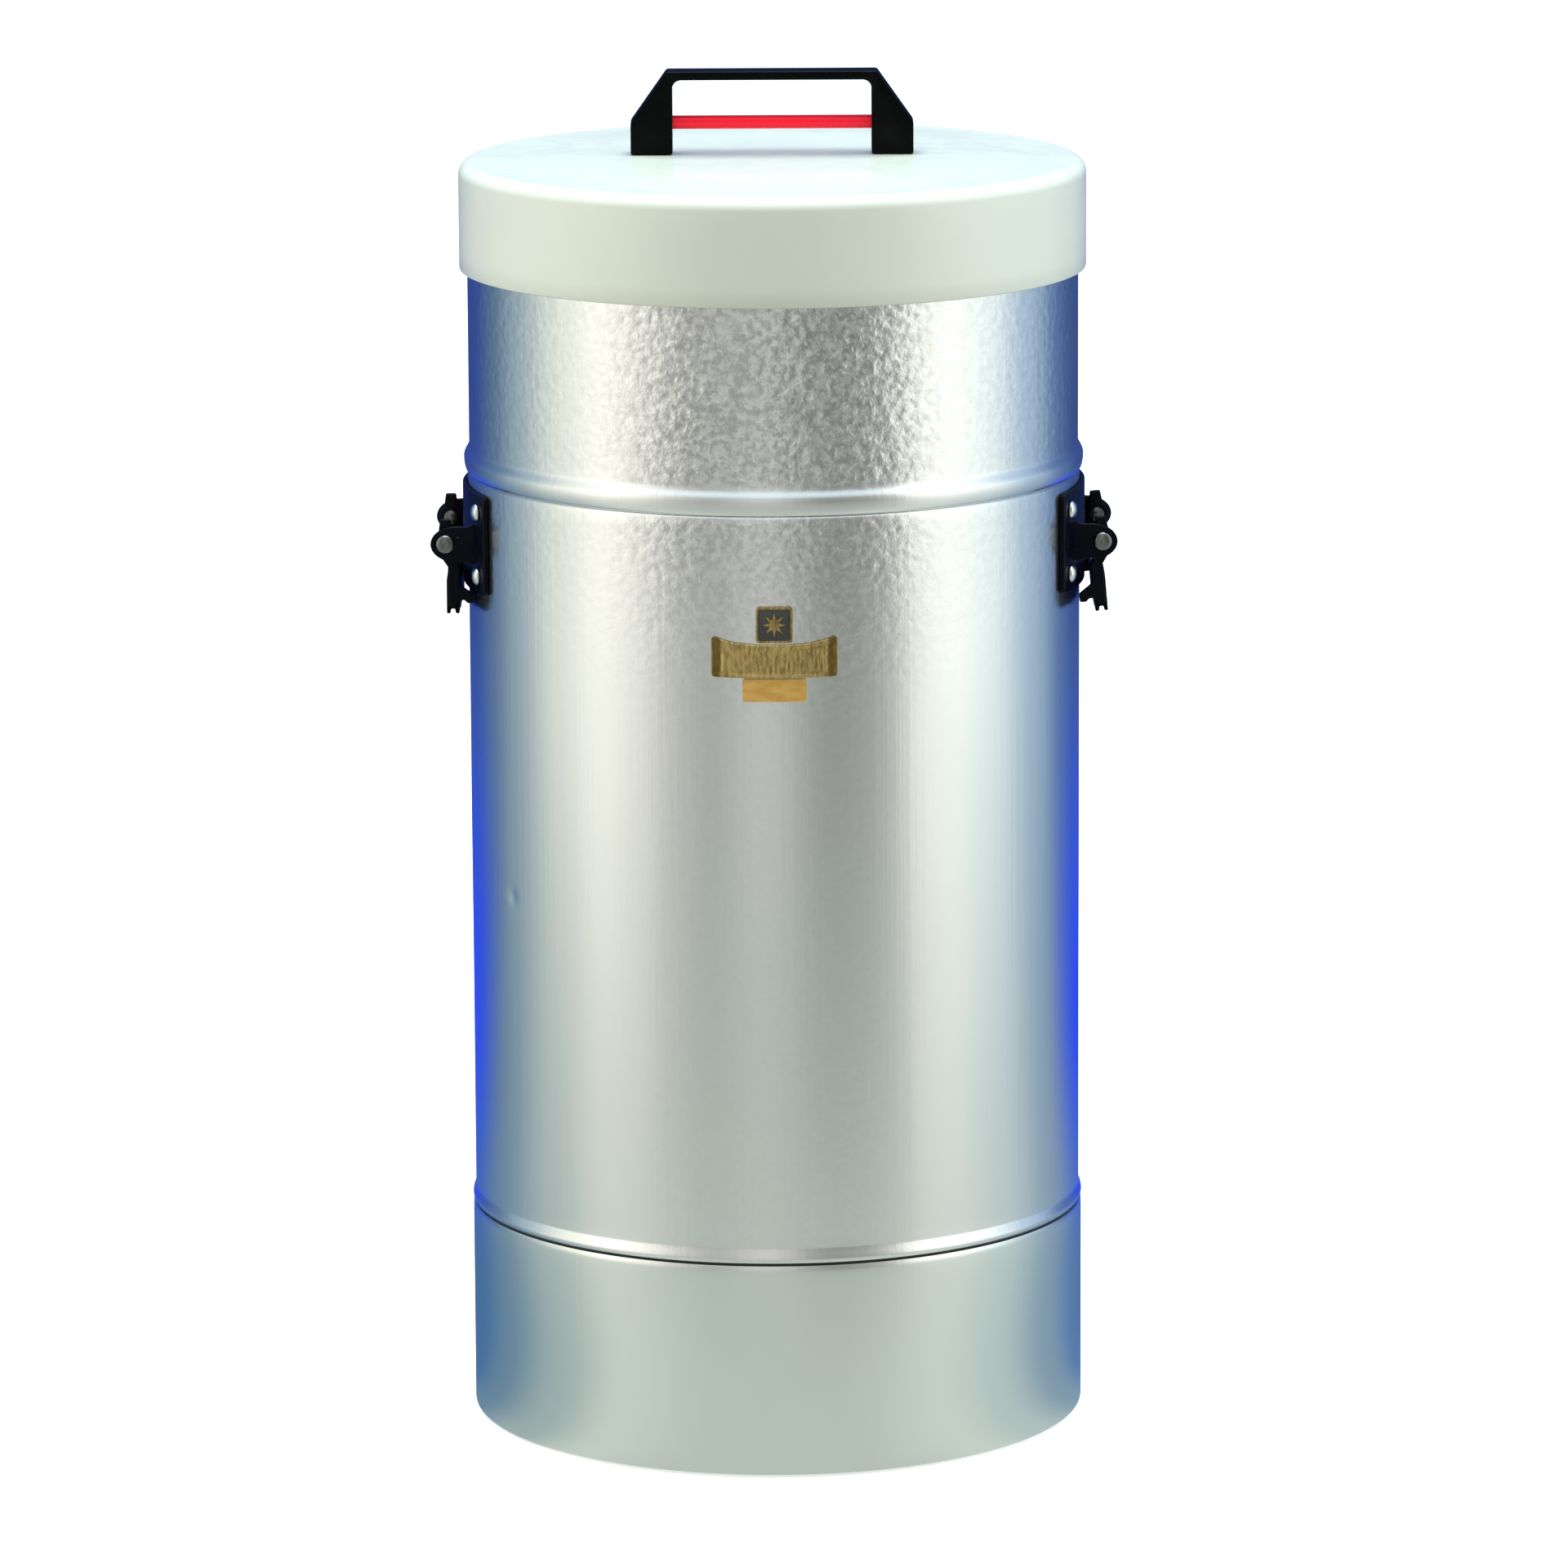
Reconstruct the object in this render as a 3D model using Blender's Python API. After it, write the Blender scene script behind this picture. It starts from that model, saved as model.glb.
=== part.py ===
"""A laboratory dewar for liquid nitrogen: a silvered double-walled glass flask in a beaded
aluminium casing, with a loose insulated lid and two folding side handles.

Lengths are in millimetres and are turned into metres where meshes are made. The origin is the
centre of the base on the floor, +Z is up and the nameplate faces -Y.
"""

import math

import bmesh
import bpy
from mathutils import Vector

MM = 0.001
GAP = 0.3  # between two pieces that touch
STEPS_SHELL = 48  # sides of the turned pieces that show
STEPS_INSIDE = 32  # sides of the turned pieces inside the casing

# ---- Casing: three sleeves of sheet, each one slipped up into the next at a bead ----
SHEET = 1.2
UPPER_R = 139.3
MAIN_R = 140.0
BASE_R = 141.2
LAP_LENGTH = 12.0
LAP_PLAY = 0.4  # between a sleeve's slipped-in end and the sleeve round it
BEAD_PROUD = 2.4
UPPER_BEAD_Z, UPPER_BEAD_HALF = 444.0, 4.0
LOWER_BEAD_Z, LOWER_BEAD_HALF = 104.6, 5.0
SLEEVE_TOP_Z = 549.7
FLOOR_Z = 1.0
BASE_CORNER_R = 3.0
GROOVE_IN_R, GROOVE_OUT_R, GROOVE_DEPTH = 108.8, 130.2, 3.2
FOOT_RING_EDGE = 0.8

# ---- Glass: an inner and an outer flask, fused at the rim ----
GLASS = 3.0
INNER_R = 112.0
VACUUM = 8.0
OUTER_R = INNER_R + 2 * GLASS + VACUUM
RIM_Z = 548.0
RIM_CENTRE_R = (INNER_R + OUTER_R) / 2
RIM_BEND = (OUTER_R - INNER_R) / 2
RIM_SEAM_Z = RIM_Z - RIM_BEND
DOME_DEPTH = 45.0
OUTER_BOTTOM_Z = 24.0
INNER_BOTTOM_Z = OUTER_BOTTOM_Z + GLASS + VACUUM
TIP_R, TIP_LENGTH = 5.0, 11.0

# ---- Neck ring, gaskets, support and packing ----
NECK_TOP_Z = 554.0
NECK_MOUTH_R = 117.5
SUPPORT_R, SUPPORT_HOLE_R, SUPPORT_TOP_Z = 134.0, 40.0, 84.0
PACKING_Z = {"packing_ring_lower": 250.0, "packing_ring_upper": 480.0}
PACKING_HEIGHT = 24.0
PACKING_R = 136.4

# ---- Lid ----
LID_R = 142.8
LID_WALL = 2.4
LID_ROOF = 3.0
LID_TOP_Z = 582.0  # at the edge
LID_CROWN = 2.3  # rise from there to the middle
LID_FLAT_R = 75.0  # the middle, where the handle stands
LID_SKIRT_Z = 533.0
LID_EDGE_R = 6.0
DISC_Z = 558.0
DISC_R = 139.7
PLUG_R, PLUG_TAPER, PLUG_DEPTH = 107.0, 2.0, 50.0
GASKET_R = (119.0, 134.0)

# ---- Bow handle on the lid ----
BOW_FOOT_Z = LID_TOP_Z + LID_CROWN + GAP
BOW_HALF = 64.2
BOW_OPENING_HALF = 45.2
BOW_HEIGHT = 37.8
BOW_BAR = 4.0
BOW_DEPTH = 15.0
BOW_SHOULDER_Z = 14.6
BOW_TOP_HALF = 47.8
BOW_SCREW_X = 55.0
SCREW_R, SCREW_HOLE_R = 2.5, 2.9
CROSSBAR_R, CROSSBAR_Z, CROSSBAR_HALF = 3.1, 14.0, 49.5
STRAP_HALF, STRAP_HALF_WIDTH, STRAP_THICK = 66.0, 10.0, 1.5

# ---- Folding side handles ----
PLATE_IN_R = MAIN_R + GAP
PLATE_THICK = 2.0
PLATE_OUT_R = PLATE_IN_R + PLATE_THICK
PLATE_HALF = 54.5  # along Y
PLATE_Z = (389.7, 435.2)
RIVET_Y, RIVET_Z = 46.0, (397.7, 427.0)
RIVET_R, RIVET_HEAD_R, RIVET_HEAD = 2.0, 4.0, 2.3
EAR_Y, EAR_THICK = 39.4, 2.4
EAR_CENTRE_X, EAR_RX = 144.4, 11.6
EAR_Z, EAR_RZ = 411.4, 8.2
PIVOT_X, PIVOT_Z = 149.2, 411.6
PIN_R, PIN_HOLE_R = 2.5, 2.8
PIN_HEAD_R, PIN_HEAD = 4.2, 2.0
ARM_Y, ARM_THICK, ARM_HALF = 36.2, 3.0, 2.8
ARM_EYE_R = 5.6
ARM_HEEL = PIVOT_X - math.sqrt(PLATE_OUT_R**2 - (ARM_Y - ARM_THICK / 2) ** 2) - GAP
GRIP_HALF = 34.4
CORE_R, CORE_HOLE_R = 2.0, 2.3
CORE_X, CORE_Z = -3.0, -23.0  # from the pivot
ARM_X = -3.7  # middle of the legs, from the pivot
FOOT_X, FOOT_Z = -12.7, -27.8  # inner corner of the legs' feet, from the pivot
RIGHT_SWING = 5.0  # degrees that the right bail hangs away from the casing

# ---- Badge on the front ----
BADGE_Z = 375.6
BADGE_R = MAIN_R + GAP
NAMEPLATE = (56.0, 15.0, 1.2)
EMBLEM = (16.2, 16.2, 1.2)
LABEL = (28.4, 10.2, 0.6)

COLOURS = {  # base colour, metallic, roughness
    "casing_aluminium": ((0.74, 0.76, 0.74), 1.0, 0.32),
    "lid_plastic": ((0.80, 0.82, 0.74), 0.0, 0.38),
    "neck_plastic": ((0.72, 0.73, 0.70), 0.0, 0.45),
    "insulation_foam": ((0.90, 0.90, 0.88), 0.0, 0.9),
    "packing_felt": ((0.55, 0.53, 0.49), 0.0, 0.95),
    "gasket_silicone": ((0.62, 0.62, 0.60), 0.0, 0.6),
    "black_rubber": ((0.03, 0.03, 0.03), 0.0, 0.8),
    "black_plastic": ((0.012, 0.012, 0.013), 0.0, 0.35),
    "red_plastic": ((0.85, 0.02, 0.03), 0.0, 0.35),
    "black_steel": ((0.015, 0.016, 0.022), 0.4, 0.35),
    "bright_steel": ((0.78, 0.78, 0.80), 1.0, 0.2),
    "silvered_glass": ((0.88, 0.89, 0.90), 1.0, 0.06),
    "brass": ((0.62, 0.42, 0.10), 1.0, 0.3),
    "emblem_enamel": ((0.03, 0.03, 0.025), 0.2, 0.3),
    "amber_label": ((0.80, 0.42, 0.10), 0.0, 0.45),
}


# ------------------------------------------------------------------ helpers


def material(name):
    found = bpy.data.materials.get(name)
    if found:
        return found
    made = bpy.data.materials.new(name)
    made.use_nodes = True
    colour, metallic, roughness = COLOURS[name]
    shader = made.node_tree.nodes["Principled BSDF"]
    shader.inputs["Base Color"].default_value = (*colour, 1.0)
    shader.inputs["Metallic"].default_value = metallic
    shader.inputs["Roughness"].default_value = roughness
    return made


def empty(name, at=(0, 0, 0), turn=0.0, parent=None):
    """A plain axis that carries other objects. turn is about Z, in radians."""
    made = bpy.data.objects.new(name, None)
    made.location = Vector(at) * MM
    made.rotation_euler = (0, 0, turn)
    made.parent = parent
    bpy.context.scene.collection.objects.link(made)
    return made


def piece(name, bm, slot, parent=None, at=(0, 0, 0)):
    """Turns a bmesh in millimetres into a shaded object in metres."""
    bmesh.ops.recalc_face_normals(bm, faces=bm.faces)
    bmesh.ops.scale(bm, vec=(MM, MM, MM), verts=bm.verts)
    mesh = bpy.data.meshes.new(name)
    bm.to_mesh(mesh)
    bm.free()
    mesh.shade_smooth()
    mesh.set_sharp_from_angle(angle=math.radians(35))
    if slot:
        mesh.materials.append(material(slot))
    made = bpy.data.objects.new(name, mesh)
    made.location = Vector(at) * MM
    made.parent = parent
    bpy.context.scene.collection.objects.link(made)
    return made


def arc(centre, radius, start, end, count):
    """Points on an arc or, with radius as a pair, on an ellipse. Angles are in degrees."""
    across, up = radius if isinstance(radius, tuple) else (radius, radius)
    turns = [math.radians(start + (end - start) * i / (count - 1)) for i in range(count)]
    return [(centre[0] + across * math.cos(t), centre[1] + up * math.sin(t)) for t in turns]


def turned_mesh(profile, steps, ring=True):
    """A closed profile of (radius, z), or one that starts and ends on the axis, turned about Z."""
    bm = bmesh.new()
    points = [bm.verts.new((r, 0, z)) for r, z in profile]
    pairs = list(zip(points, points[1:] + points[:1] if ring else points[1:]))
    edges = [bm.edges.new(pair) for pair in pairs]
    bmesh.ops.spin(
        bm,
        geom=points + edges,
        cent=(0, 0, 0),
        axis=(0, 0, 1),
        angle=2 * math.pi,
        steps=steps,
        use_merge=True,
    )
    bmesh.ops.remove_doubles(bm, verts=bm.verts, dist=1e-4)
    return bm


def prism_mesh(outline, low, high, lift="Z"):
    """An outline of two coordinates, extruded from low to high along the axis lift."""
    place = {
        "X": lambda a, b, c: (c, a, b),
        "Y": lambda a, b, c: (a, c, b),
        "Z": lambda a, b, c: (a, b, c),
    }[lift]
    bm = bmesh.new()
    face = bm.faces.new([bm.verts.new(place(a, b, low)) for a, b in outline])
    grown = bmesh.ops.extrude_face_region(bm, geom=[face])["geom"]
    moved = [v for v in grown if isinstance(v, bmesh.types.BMVert)]
    bmesh.ops.translate(bm, verts=moved, vec=place(0, 0, high - low))
    return bm


def box_mesh(low, high):
    outline = [(low[0], low[1]), (high[0], low[1]), (high[0], high[1]), (low[0], high[1])]
    return prism_mesh(outline, low[2], high[2])


def rod_mesh(radius, low, high, lift, at=(0, 0), sides=16):
    """A round rod along an axis. at is its centre in the two other coordinates."""
    outline = arc(at, radius, 0, 360 - 360 / sides, sides)
    return prism_mesh(outline, low, high, lift)


def band_outline(inner, outer, half, count):
    """Outline, seen from above, of a curved plate that reaches to y = -half and y = half."""
    sweep = math.degrees(math.asin(half / outer))
    return arc((0, 0), outer, -sweep, sweep, count) + arc((0, 0), inner, sweep, -sweep, count)


def combine(target, other, operation):
    """Joins other into target, or cuts it away, and leaves other out of the model."""
    other.hide_render = True
    other.display_type = "WIRE"
    modifier = target.modifiers.new(other.name, "BOOLEAN")
    modifier.operation = operation
    modifier.solver = "EXACT"
    modifier.object = other
    return target


def bevel(target, width, segments=2, angle=40):
    modifier = target.modifiers.new("edges", "BEVEL")
    modifier.width = width * MM
    modifier.segments = segments
    modifier.limit_method = "ANGLE"
    modifier.angle_limit = math.radians(angle)
    return target


# ------------------------------------------------------------------ casing


def bead(radius, z, half):
    """A half-round bead in the sheet, from its top to its bottom."""
    return arc((radius, z), (BEAD_PROUD, half), 90, -90, 7)


def bead_inside(radius, z, half):
    """The hollow of a bead, from its bottom to its top."""
    return arc((radius - SHEET, z), (BEAD_PROUD, half - SHEET), -90, 90, 5)


def lap(shoulder_z, radius, next_radius):
    """The top of a sleeve: slipped up inside the next one, then out over a shoulder."""
    outside = next_radius - SHEET - LAP_PLAY
    return [(outside - SHEET, shoulder_z + LAP_LENGTH), (outside, shoulder_z + LAP_LENGTH),
            (outside, shoulder_z), (radius, shoulder_z)]


def lap_inside(shoulder_z, radius, next_radius):
    """The inside of that shoulder, from the sleeve's wall up to its slipped-in end."""
    outside = next_radius - SHEET - LAP_PLAY
    return [(radius - SHEET, shoulder_z - 2 * SHEET), (outside - SHEET, shoulder_z - SHEET)]


def casing_upper(body):
    foot = UPPER_BEAD_Z - UPPER_BEAD_HALF
    profile = [(UPPER_R, SLEEVE_TOP_Z)] + bead(UPPER_R, UPPER_BEAD_Z, UPPER_BEAD_HALF)
    profile += [(UPPER_R - SHEET, foot)] + bead_inside(UPPER_R, UPPER_BEAD_Z, UPPER_BEAD_HALF)
    profile += [(UPPER_R - SHEET, SLEEVE_TOP_Z)]
    return piece("casing_upper", turned_mesh(profile, STEPS_SHELL), "casing_aluminium", body)


def casing_main(body):
    shoulder = UPPER_BEAD_Z - UPPER_BEAD_HALF - GAP
    foot = LOWER_BEAD_Z - LOWER_BEAD_HALF
    profile = lap(shoulder, MAIN_R, UPPER_R) + bead(MAIN_R, LOWER_BEAD_Z, LOWER_BEAD_HALF)
    profile += [(MAIN_R - SHEET, foot)] + bead_inside(MAIN_R, LOWER_BEAD_Z, LOWER_BEAD_HALF)
    profile += lap_inside(shoulder, MAIN_R, UPPER_R)
    sleeve = piece("casing_main", turned_mesh(profile, STEPS_SHELL), "casing_aluminium", body)
    for side, turn in (("right", 0.0), ("left", math.pi)):
        for number, (y, z) in enumerate(rivet_places(), start=1):
            hole = rivet_hole(f"cut_sleeve_{side}_{number}", y, z)
            hole.rotation_euler.z += turn
            combine(sleeve, hole, "DIFFERENCE")
    return sleeve


def base_cup(body):
    """The drawn bottom: side wall, floor and a groove under the floor for the foot ring."""
    shoulder = LOWER_BEAD_Z - LOWER_BEAD_HALF - GAP
    top = FLOOR_Z + SHEET
    corner = (BASE_R - BASE_CORNER_R, FLOOR_Z + BASE_CORNER_R)
    roof = FLOOR_Z + GROOVE_DEPTH
    profile = [(0, FLOOR_Z), (GROOVE_IN_R - SHEET, FLOOR_Z), (GROOVE_IN_R, roof)]
    profile += [(GROOVE_OUT_R, roof), (GROOVE_OUT_R + SHEET, FLOOR_Z)]
    profile += arc(corner, BASE_CORNER_R, -90, 0, 4)
    profile += lap(shoulder, BASE_R, MAIN_R)[::-1]
    profile += lap_inside(shoulder, BASE_R, MAIN_R)[::-1]
    profile += arc(corner, BASE_CORNER_R - SHEET, 0, -90, 3)
    profile += [(GROOVE_OUT_R + 2 * SHEET, top), (GROOVE_OUT_R + SHEET, roof + SHEET)]
    profile += [(GROOVE_IN_R - SHEET, roof + SHEET), (GROOVE_IN_R - 2 * SHEET, top), (0, top)]
    mesh = turned_mesh(profile, STEPS_SHELL, ring=False)
    return piece("base_cup", mesh, "casing_aluminium", body)


def ring_profile(inner, outer, low, high, edge=0.0):
    """A rectangular section, with its four corners cut off by edge."""
    if not edge:
        return [(inner, low), (outer, low), (outer, high), (inner, high)]
    return [(inner + edge, low), (outer - edge, low), (outer, low + edge), (outer, high - edge),
            (outer - edge, high), (inner + edge, high), (inner, high - edge), (inner, low + edge)]


def foot_ring(body):
    top = FLOOR_Z + GROOVE_DEPTH - GAP
    profile = ring_profile(GROOVE_IN_R + 2 * GAP, GROOVE_OUT_R - 2 * GAP, 0, top, FOOT_RING_EDGE)
    return piece("foot_ring", turned_mesh(profile, STEPS_INSIDE), "black_rubber", body)


def neck_ring(body):
    """Closes the space between glass and casing, and centres the glass rim."""
    under = SLEEVE_TOP_Z + GAP
    lip_in, lip_out = OUTER_R + 0.8, OUTER_R + 3.0
    skirt_out = UPPER_R - SHEET - LAP_PLAY
    skirt_in, skirt_foot = skirt_out - 2, under - 18
    profile = [(NECK_MOUTH_R, under), (lip_in, under), (lip_in, RIM_SEAM_Z - 5)]
    profile += [(lip_out, RIM_SEAM_Z - 5), (lip_out, under), (skirt_in, under)]
    profile += [(skirt_in, skirt_foot), (skirt_out, skirt_foot), (skirt_out, under)]
    profile += [(UPPER_R, under), (UPPER_R, NECK_TOP_Z - 1), (UPPER_R - 1, NECK_TOP_Z)]
    profile += [(NECK_MOUTH_R + 1.2, NECK_TOP_Z), (NECK_MOUTH_R, NECK_TOP_Z - 1.2)]
    return piece("neck_ring", turned_mesh(profile, STEPS_SHELL), "neck_plastic", body)


def rim_gasket(body):
    profile = ring_profile(NECK_MOUTH_R + 1, OUTER_R, RIM_Z + GAP, SLEEVE_TOP_Z)
    return piece("rim_gasket", turned_mesh(profile, STEPS_INSIDE), "gasket_silicone", body)


# ------------------------------------------------------------------ glass and packing


def dome(radius, bottom_z, depth, count):
    """Half of a flask's round bottom, from the axis out to the wall."""
    return arc((0, bottom_z + depth), (radius, depth), -90, 0, count)


def glass_inner(body):
    """The inner flask, with the rim that turns over to meet the outer one."""
    wall = INNER_R + GLASS
    profile = dome(wall, INNER_BOTTOM_Z, DOME_DEPTH, 9)
    profile += arc((RIM_CENTRE_R, RIM_SEAM_Z), RIM_BEND - GLASS, 180, 0, 5)
    profile += arc((RIM_CENTRE_R, RIM_SEAM_Z), RIM_BEND, 0, 180, 9)
    profile += dome(INNER_R, INNER_BOTTOM_Z + GLASS, DOME_DEPTH - GLASS, 9)[::-1]
    mesh = turned_mesh(profile, STEPS_INSIDE, ring=False)
    return piece("glass_inner", mesh, "silvered_glass", body)


def glass_outer(body):
    """The outer flask, with the sealed tip where it was pumped out."""
    seam = RIM_SEAM_Z - GAP
    tip_z = OUTER_BOTTOM_Z + 0.5 - TIP_LENGTH
    profile = [(0, tip_z), (TIP_R * 0.6, tip_z + 1.5), (TIP_R * 0.8, tip_z + TIP_LENGTH - 2)]
    profile += [(TIP_R * 1.8, OUTER_BOTTOM_Z + 0.2)]
    profile += dome(OUTER_R, OUTER_BOTTOM_Z, DOME_DEPTH, 9)[1:]
    profile += [(OUTER_R, seam), (OUTER_R - GLASS, seam)]
    profile += dome(OUTER_R - GLASS, OUTER_BOTTOM_Z + GLASS, DOME_DEPTH - GLASS, 9)[::-1]
    mesh = turned_mesh(profile, STEPS_INSIDE, ring=False)
    return piece("glass_outer", mesh, "silvered_glass", body)


def glass_support(body):
    """The moulded foam seat under the glass, dished to its round bottom."""
    clear = 0.5
    seat_r = OUTER_R + clear
    floor = FLOOR_Z + GROOVE_DEPTH + SHEET + GAP
    seat = [p for p in dome(seat_r, OUTER_BOTTOM_Z - clear, DOME_DEPTH + clear, 11)]
    seat = [(r, z) for r, z in seat if r > SUPPORT_HOLE_R]
    profile = [(SUPPORT_HOLE_R, floor), (SUPPORT_R, floor), (SUPPORT_R, SUPPORT_TOP_Z)]
    profile += [(seat_r, SUPPORT_TOP_Z)] + seat[::-1]
    profile += [(SUPPORT_HOLE_R, seat[0][1] - 2.0)]
    return piece("glass_support", turned_mesh(profile, STEPS_INSIDE), "insulation_foam", body)


def packing_ring(name, z, body):
    profile = ring_profile(OUTER_R + 0.4, PACKING_R, z, z + PACKING_HEIGHT)
    return piece(name, turned_mesh(profile, STEPS_INSIDE), "packing_felt", body)


def vacuum_spacer(number, body):
    """One of three pads that keep the flasks apart, just above their round bottoms."""
    inner, outer = INNER_R + GLASS + 0.4, OUTER_R - GLASS - 0.8
    mesh = prism_mesh(band_outline(inner, outer, 11, 4), 90, 106)
    made = piece(f"vacuum_spacer_{number}", mesh, "packing_felt", body)
    made.rotation_euler.z = math.radians(90 + 120 * number)
    return made


# ------------------------------------------------------------------ lid


def lid_shell(body):
    """A moulded cap, flat in the middle and falling a little towards its rounded edge."""
    inside = LID_R - LID_WALL
    roof = LID_TOP_Z - LID_ROOF
    middle = LID_TOP_Z + LID_CROWN
    corner = (LID_R - LID_EDGE_R, LID_TOP_Z - LID_EDGE_R)
    profile = [(0, middle), (LID_FLAT_R, middle), (LID_FLAT_R + 30, middle - LID_CROWN * 0.4)]
    profile += arc(corner, LID_EDGE_R, 90, 0, 6)
    profile += [(LID_R, LID_SKIRT_Z + 0.8), (LID_R - 0.8, LID_SKIRT_Z), (inside, LID_SKIRT_Z)]
    profile += [(inside, roof - 2.5), (inside - 2.5, roof), (0, roof)]
    mesh = turned_mesh(profile, STEPS_SHELL, ring=False)
    shell = piece("lid_shell", mesh, "lid_plastic", body)
    for side in (-1, 1):
        hole = rod_mesh(SCREW_HOLE_R, roof - 5, middle + 5, "Z", (side * BOW_SCREW_X, 0))
        combine(shell, piece(f"cut_lid_{side}", hole, None, body), "DIFFERENCE")
    return shell


def lid_insulation(body):
    """Foam disc and plug in one, with a recess in its top for the strap and screw heads."""
    top = LID_TOP_Z - LID_ROOF - GAP - 0.1
    foot = DISC_Z - PLUG_DEPTH
    chamfer = 3.0
    profile = [(0, foot), (PLUG_R - PLUG_TAPER - chamfer, foot)]
    profile += [(PLUG_R - PLUG_TAPER, foot + chamfer), (PLUG_R, DISC_Z), (DISC_R, DISC_Z)]
    profile += [(DISC_R, top - chamfer), (DISC_R - chamfer, top), (0, top)]
    mesh = turned_mesh(profile, STEPS_SHELL, ring=False)
    foam = piece("lid_insulation", mesh, "insulation_foam", body)
    half, width = STRAP_HALF + 3, STRAP_HALF_WIDTH + 3
    recess = box_mesh((-half, -width, top - 8), (half, width, top + 5))
    return combine(foam, piece("cut_recess", recess, None, body), "DIFFERENCE")


def lid_gasket(body):
    """The ring that the lid rests on, notched underneath so that cold gas can leave."""
    profile = ring_profile(*GASKET_R, NECK_TOP_Z + GAP, DISC_Z - GAP)
    ring = piece("lid_gasket", turned_mesh(profile, STEPS_SHELL), "gasket_silicone", body)
    for number in range(2):
        notch = box_mesh((-150, -7, NECK_TOP_Z - 5), (150, 7, NECK_TOP_Z + 2))
        cutter = piece(f"cut_notch_{number}", notch, None, body)
        cutter.rotation_euler.z = math.radians(45 + 90 * number)
        combine(ring, cutter, "DIFFERENCE")
    return ring


def bow_outline():
    """The bow handle seen from the front, from its right foot round to its left foot."""
    under = BOW_HEIGHT - BOW_BAR
    fillet = 4.0
    shoulder, top = (BOW_HALF, BOW_SHOULDER_Z), (BOW_TOP_HALF, BOW_HEIGHT)
    half = [(BOW_OPENING_HALF, 0), (BOW_HALF, 0), shoulder]
    half += [(top[0] + 0.9, top[1] - 1.3), (top[0] - 0.9, top[1])]
    inner = arc((BOW_OPENING_HALF - fillet, under - fillet), fillet, 90, 0, 4)
    mirrored = [(-x, z) for x, z in half[::-1]]
    return half + mirrored + [(-x, z) for x, z in inner[::-1]] + inner


def lid_handle(body):
    outline = [(x, z + BOW_FOOT_Z) for x, z in bow_outline()]
    mesh = prism_mesh(outline, -BOW_DEPTH / 2, BOW_DEPTH / 2, "Y")
    handle = piece("lid_handle", mesh, "black_plastic", body)
    bevel(handle, 0.9, 2, 50)
    socket = rod_mesh(CROSSBAR_R + GAP, -CROSSBAR_HALF - GAP, CROSSBAR_HALF + GAP, "X",
                      (0, BOW_FOOT_Z + CROSSBAR_Z))
    combine(handle, piece("cut_crossbar", socket, None, body), "DIFFERENCE")
    for side in (-1, 1):
        hole = rod_mesh(SCREW_HOLE_R, BOW_FOOT_Z - 5, BOW_FOOT_Z + 14, "Z",
                        (side * BOW_SCREW_X, 0))
        combine(handle, piece(f"cut_foot_{side}", hole, None, body), "DIFFERENCE")
    return handle


def crossbar(body):
    mesh = rod_mesh(CROSSBAR_R, -CROSSBAR_HALF, CROSSBAR_HALF, "X",
                    (0, BOW_FOOT_Z + CROSSBAR_Z))
    return piece("handle_crossbar", mesh, "red_plastic", body)


def handle_strap(body):
    """The steel strip under the lid's roof that spreads the pull of the two screws."""
    top = LID_TOP_Z - LID_ROOF - GAP
    low = (-STRAP_HALF, -STRAP_HALF_WIDTH, top - STRAP_THICK)
    strap = piece("handle_strap", box_mesh(low, (STRAP_HALF, STRAP_HALF_WIDTH, top)),
                  "bright_steel", body)
    for side in (-1, 1):
        hole = rod_mesh(SCREW_HOLE_R, low[2] - 5, top + 5, "Z", (side * BOW_SCREW_X, 0))
        combine(strap, piece(f"cut_strap_{side}", hole, None, body), "DIFFERENCE")
    return strap


def handle_screw(name, side, body):
    """A pan-head screw, up through the strap and the roof into the handle's foot."""
    seat = LID_TOP_Z - LID_ROOF - 2 * GAP - STRAP_THICK
    profile = [(0, seat - 2.8), (3.4, seat - 2.8), (4.6, seat - 1.8), (4.6, seat)]
    profile += [(SCREW_R, seat), (SCREW_R, seat + 18), (SCREW_R - 0.8, seat + 19), (0, seat + 19)]
    mesh = turned_mesh(profile, 16, ring=False)
    return piece(name, mesh, "bright_steel", body, (side * BOW_SCREW_X, 0, 0))


# ------------------------------------------------------------------ side handles


def rivet_places():
    return [(y, z) for z in RIVET_Z for y in (-RIVET_Y, RIVET_Y)]


def rivet_turn(y):
    """The angle about the casing's axis at which a rivet points straight out."""
    return math.asin(y / PLATE_OUT_R)


def rivet_hole(name, y, z, parent=None):
    mesh = rod_mesh(RIVET_R + GAP, MAIN_R - 12, MAIN_R + 12, "X", (0, z), 12)
    hole = piece(name, mesh, None, parent)
    hole.rotation_euler.z = rivet_turn(y)
    return hole


def rivet(name, y, z, parent):
    """A domed rivet through plate and sleeve, closed over a washer-like tail inside."""
    seat = PLATE_OUT_R + GAP
    tail = MAIN_R - SHEET - GAP - 0.2
    profile = [(0, seat + RIVET_HEAD)]
    profile += arc((0, seat), (RIVET_HEAD_R, RIVET_HEAD), 65, 0, 4)
    profile += [(RIVET_R, seat), (RIVET_R, tail), (3.2, tail), (2.6, tail - 1.2), (0, tail - 1.2)]
    bm = turned_mesh(profile, 12, ring=False)
    for v in bm.verts:  # from standing on Z to pointing out along X
        v.co = (v.co.z, v.co.y, -v.co.x)
    made = piece(name, bm, "bright_steel", parent, (0, 0, z))
    made.rotation_euler.z = rivet_turn(y)
    return made


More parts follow.
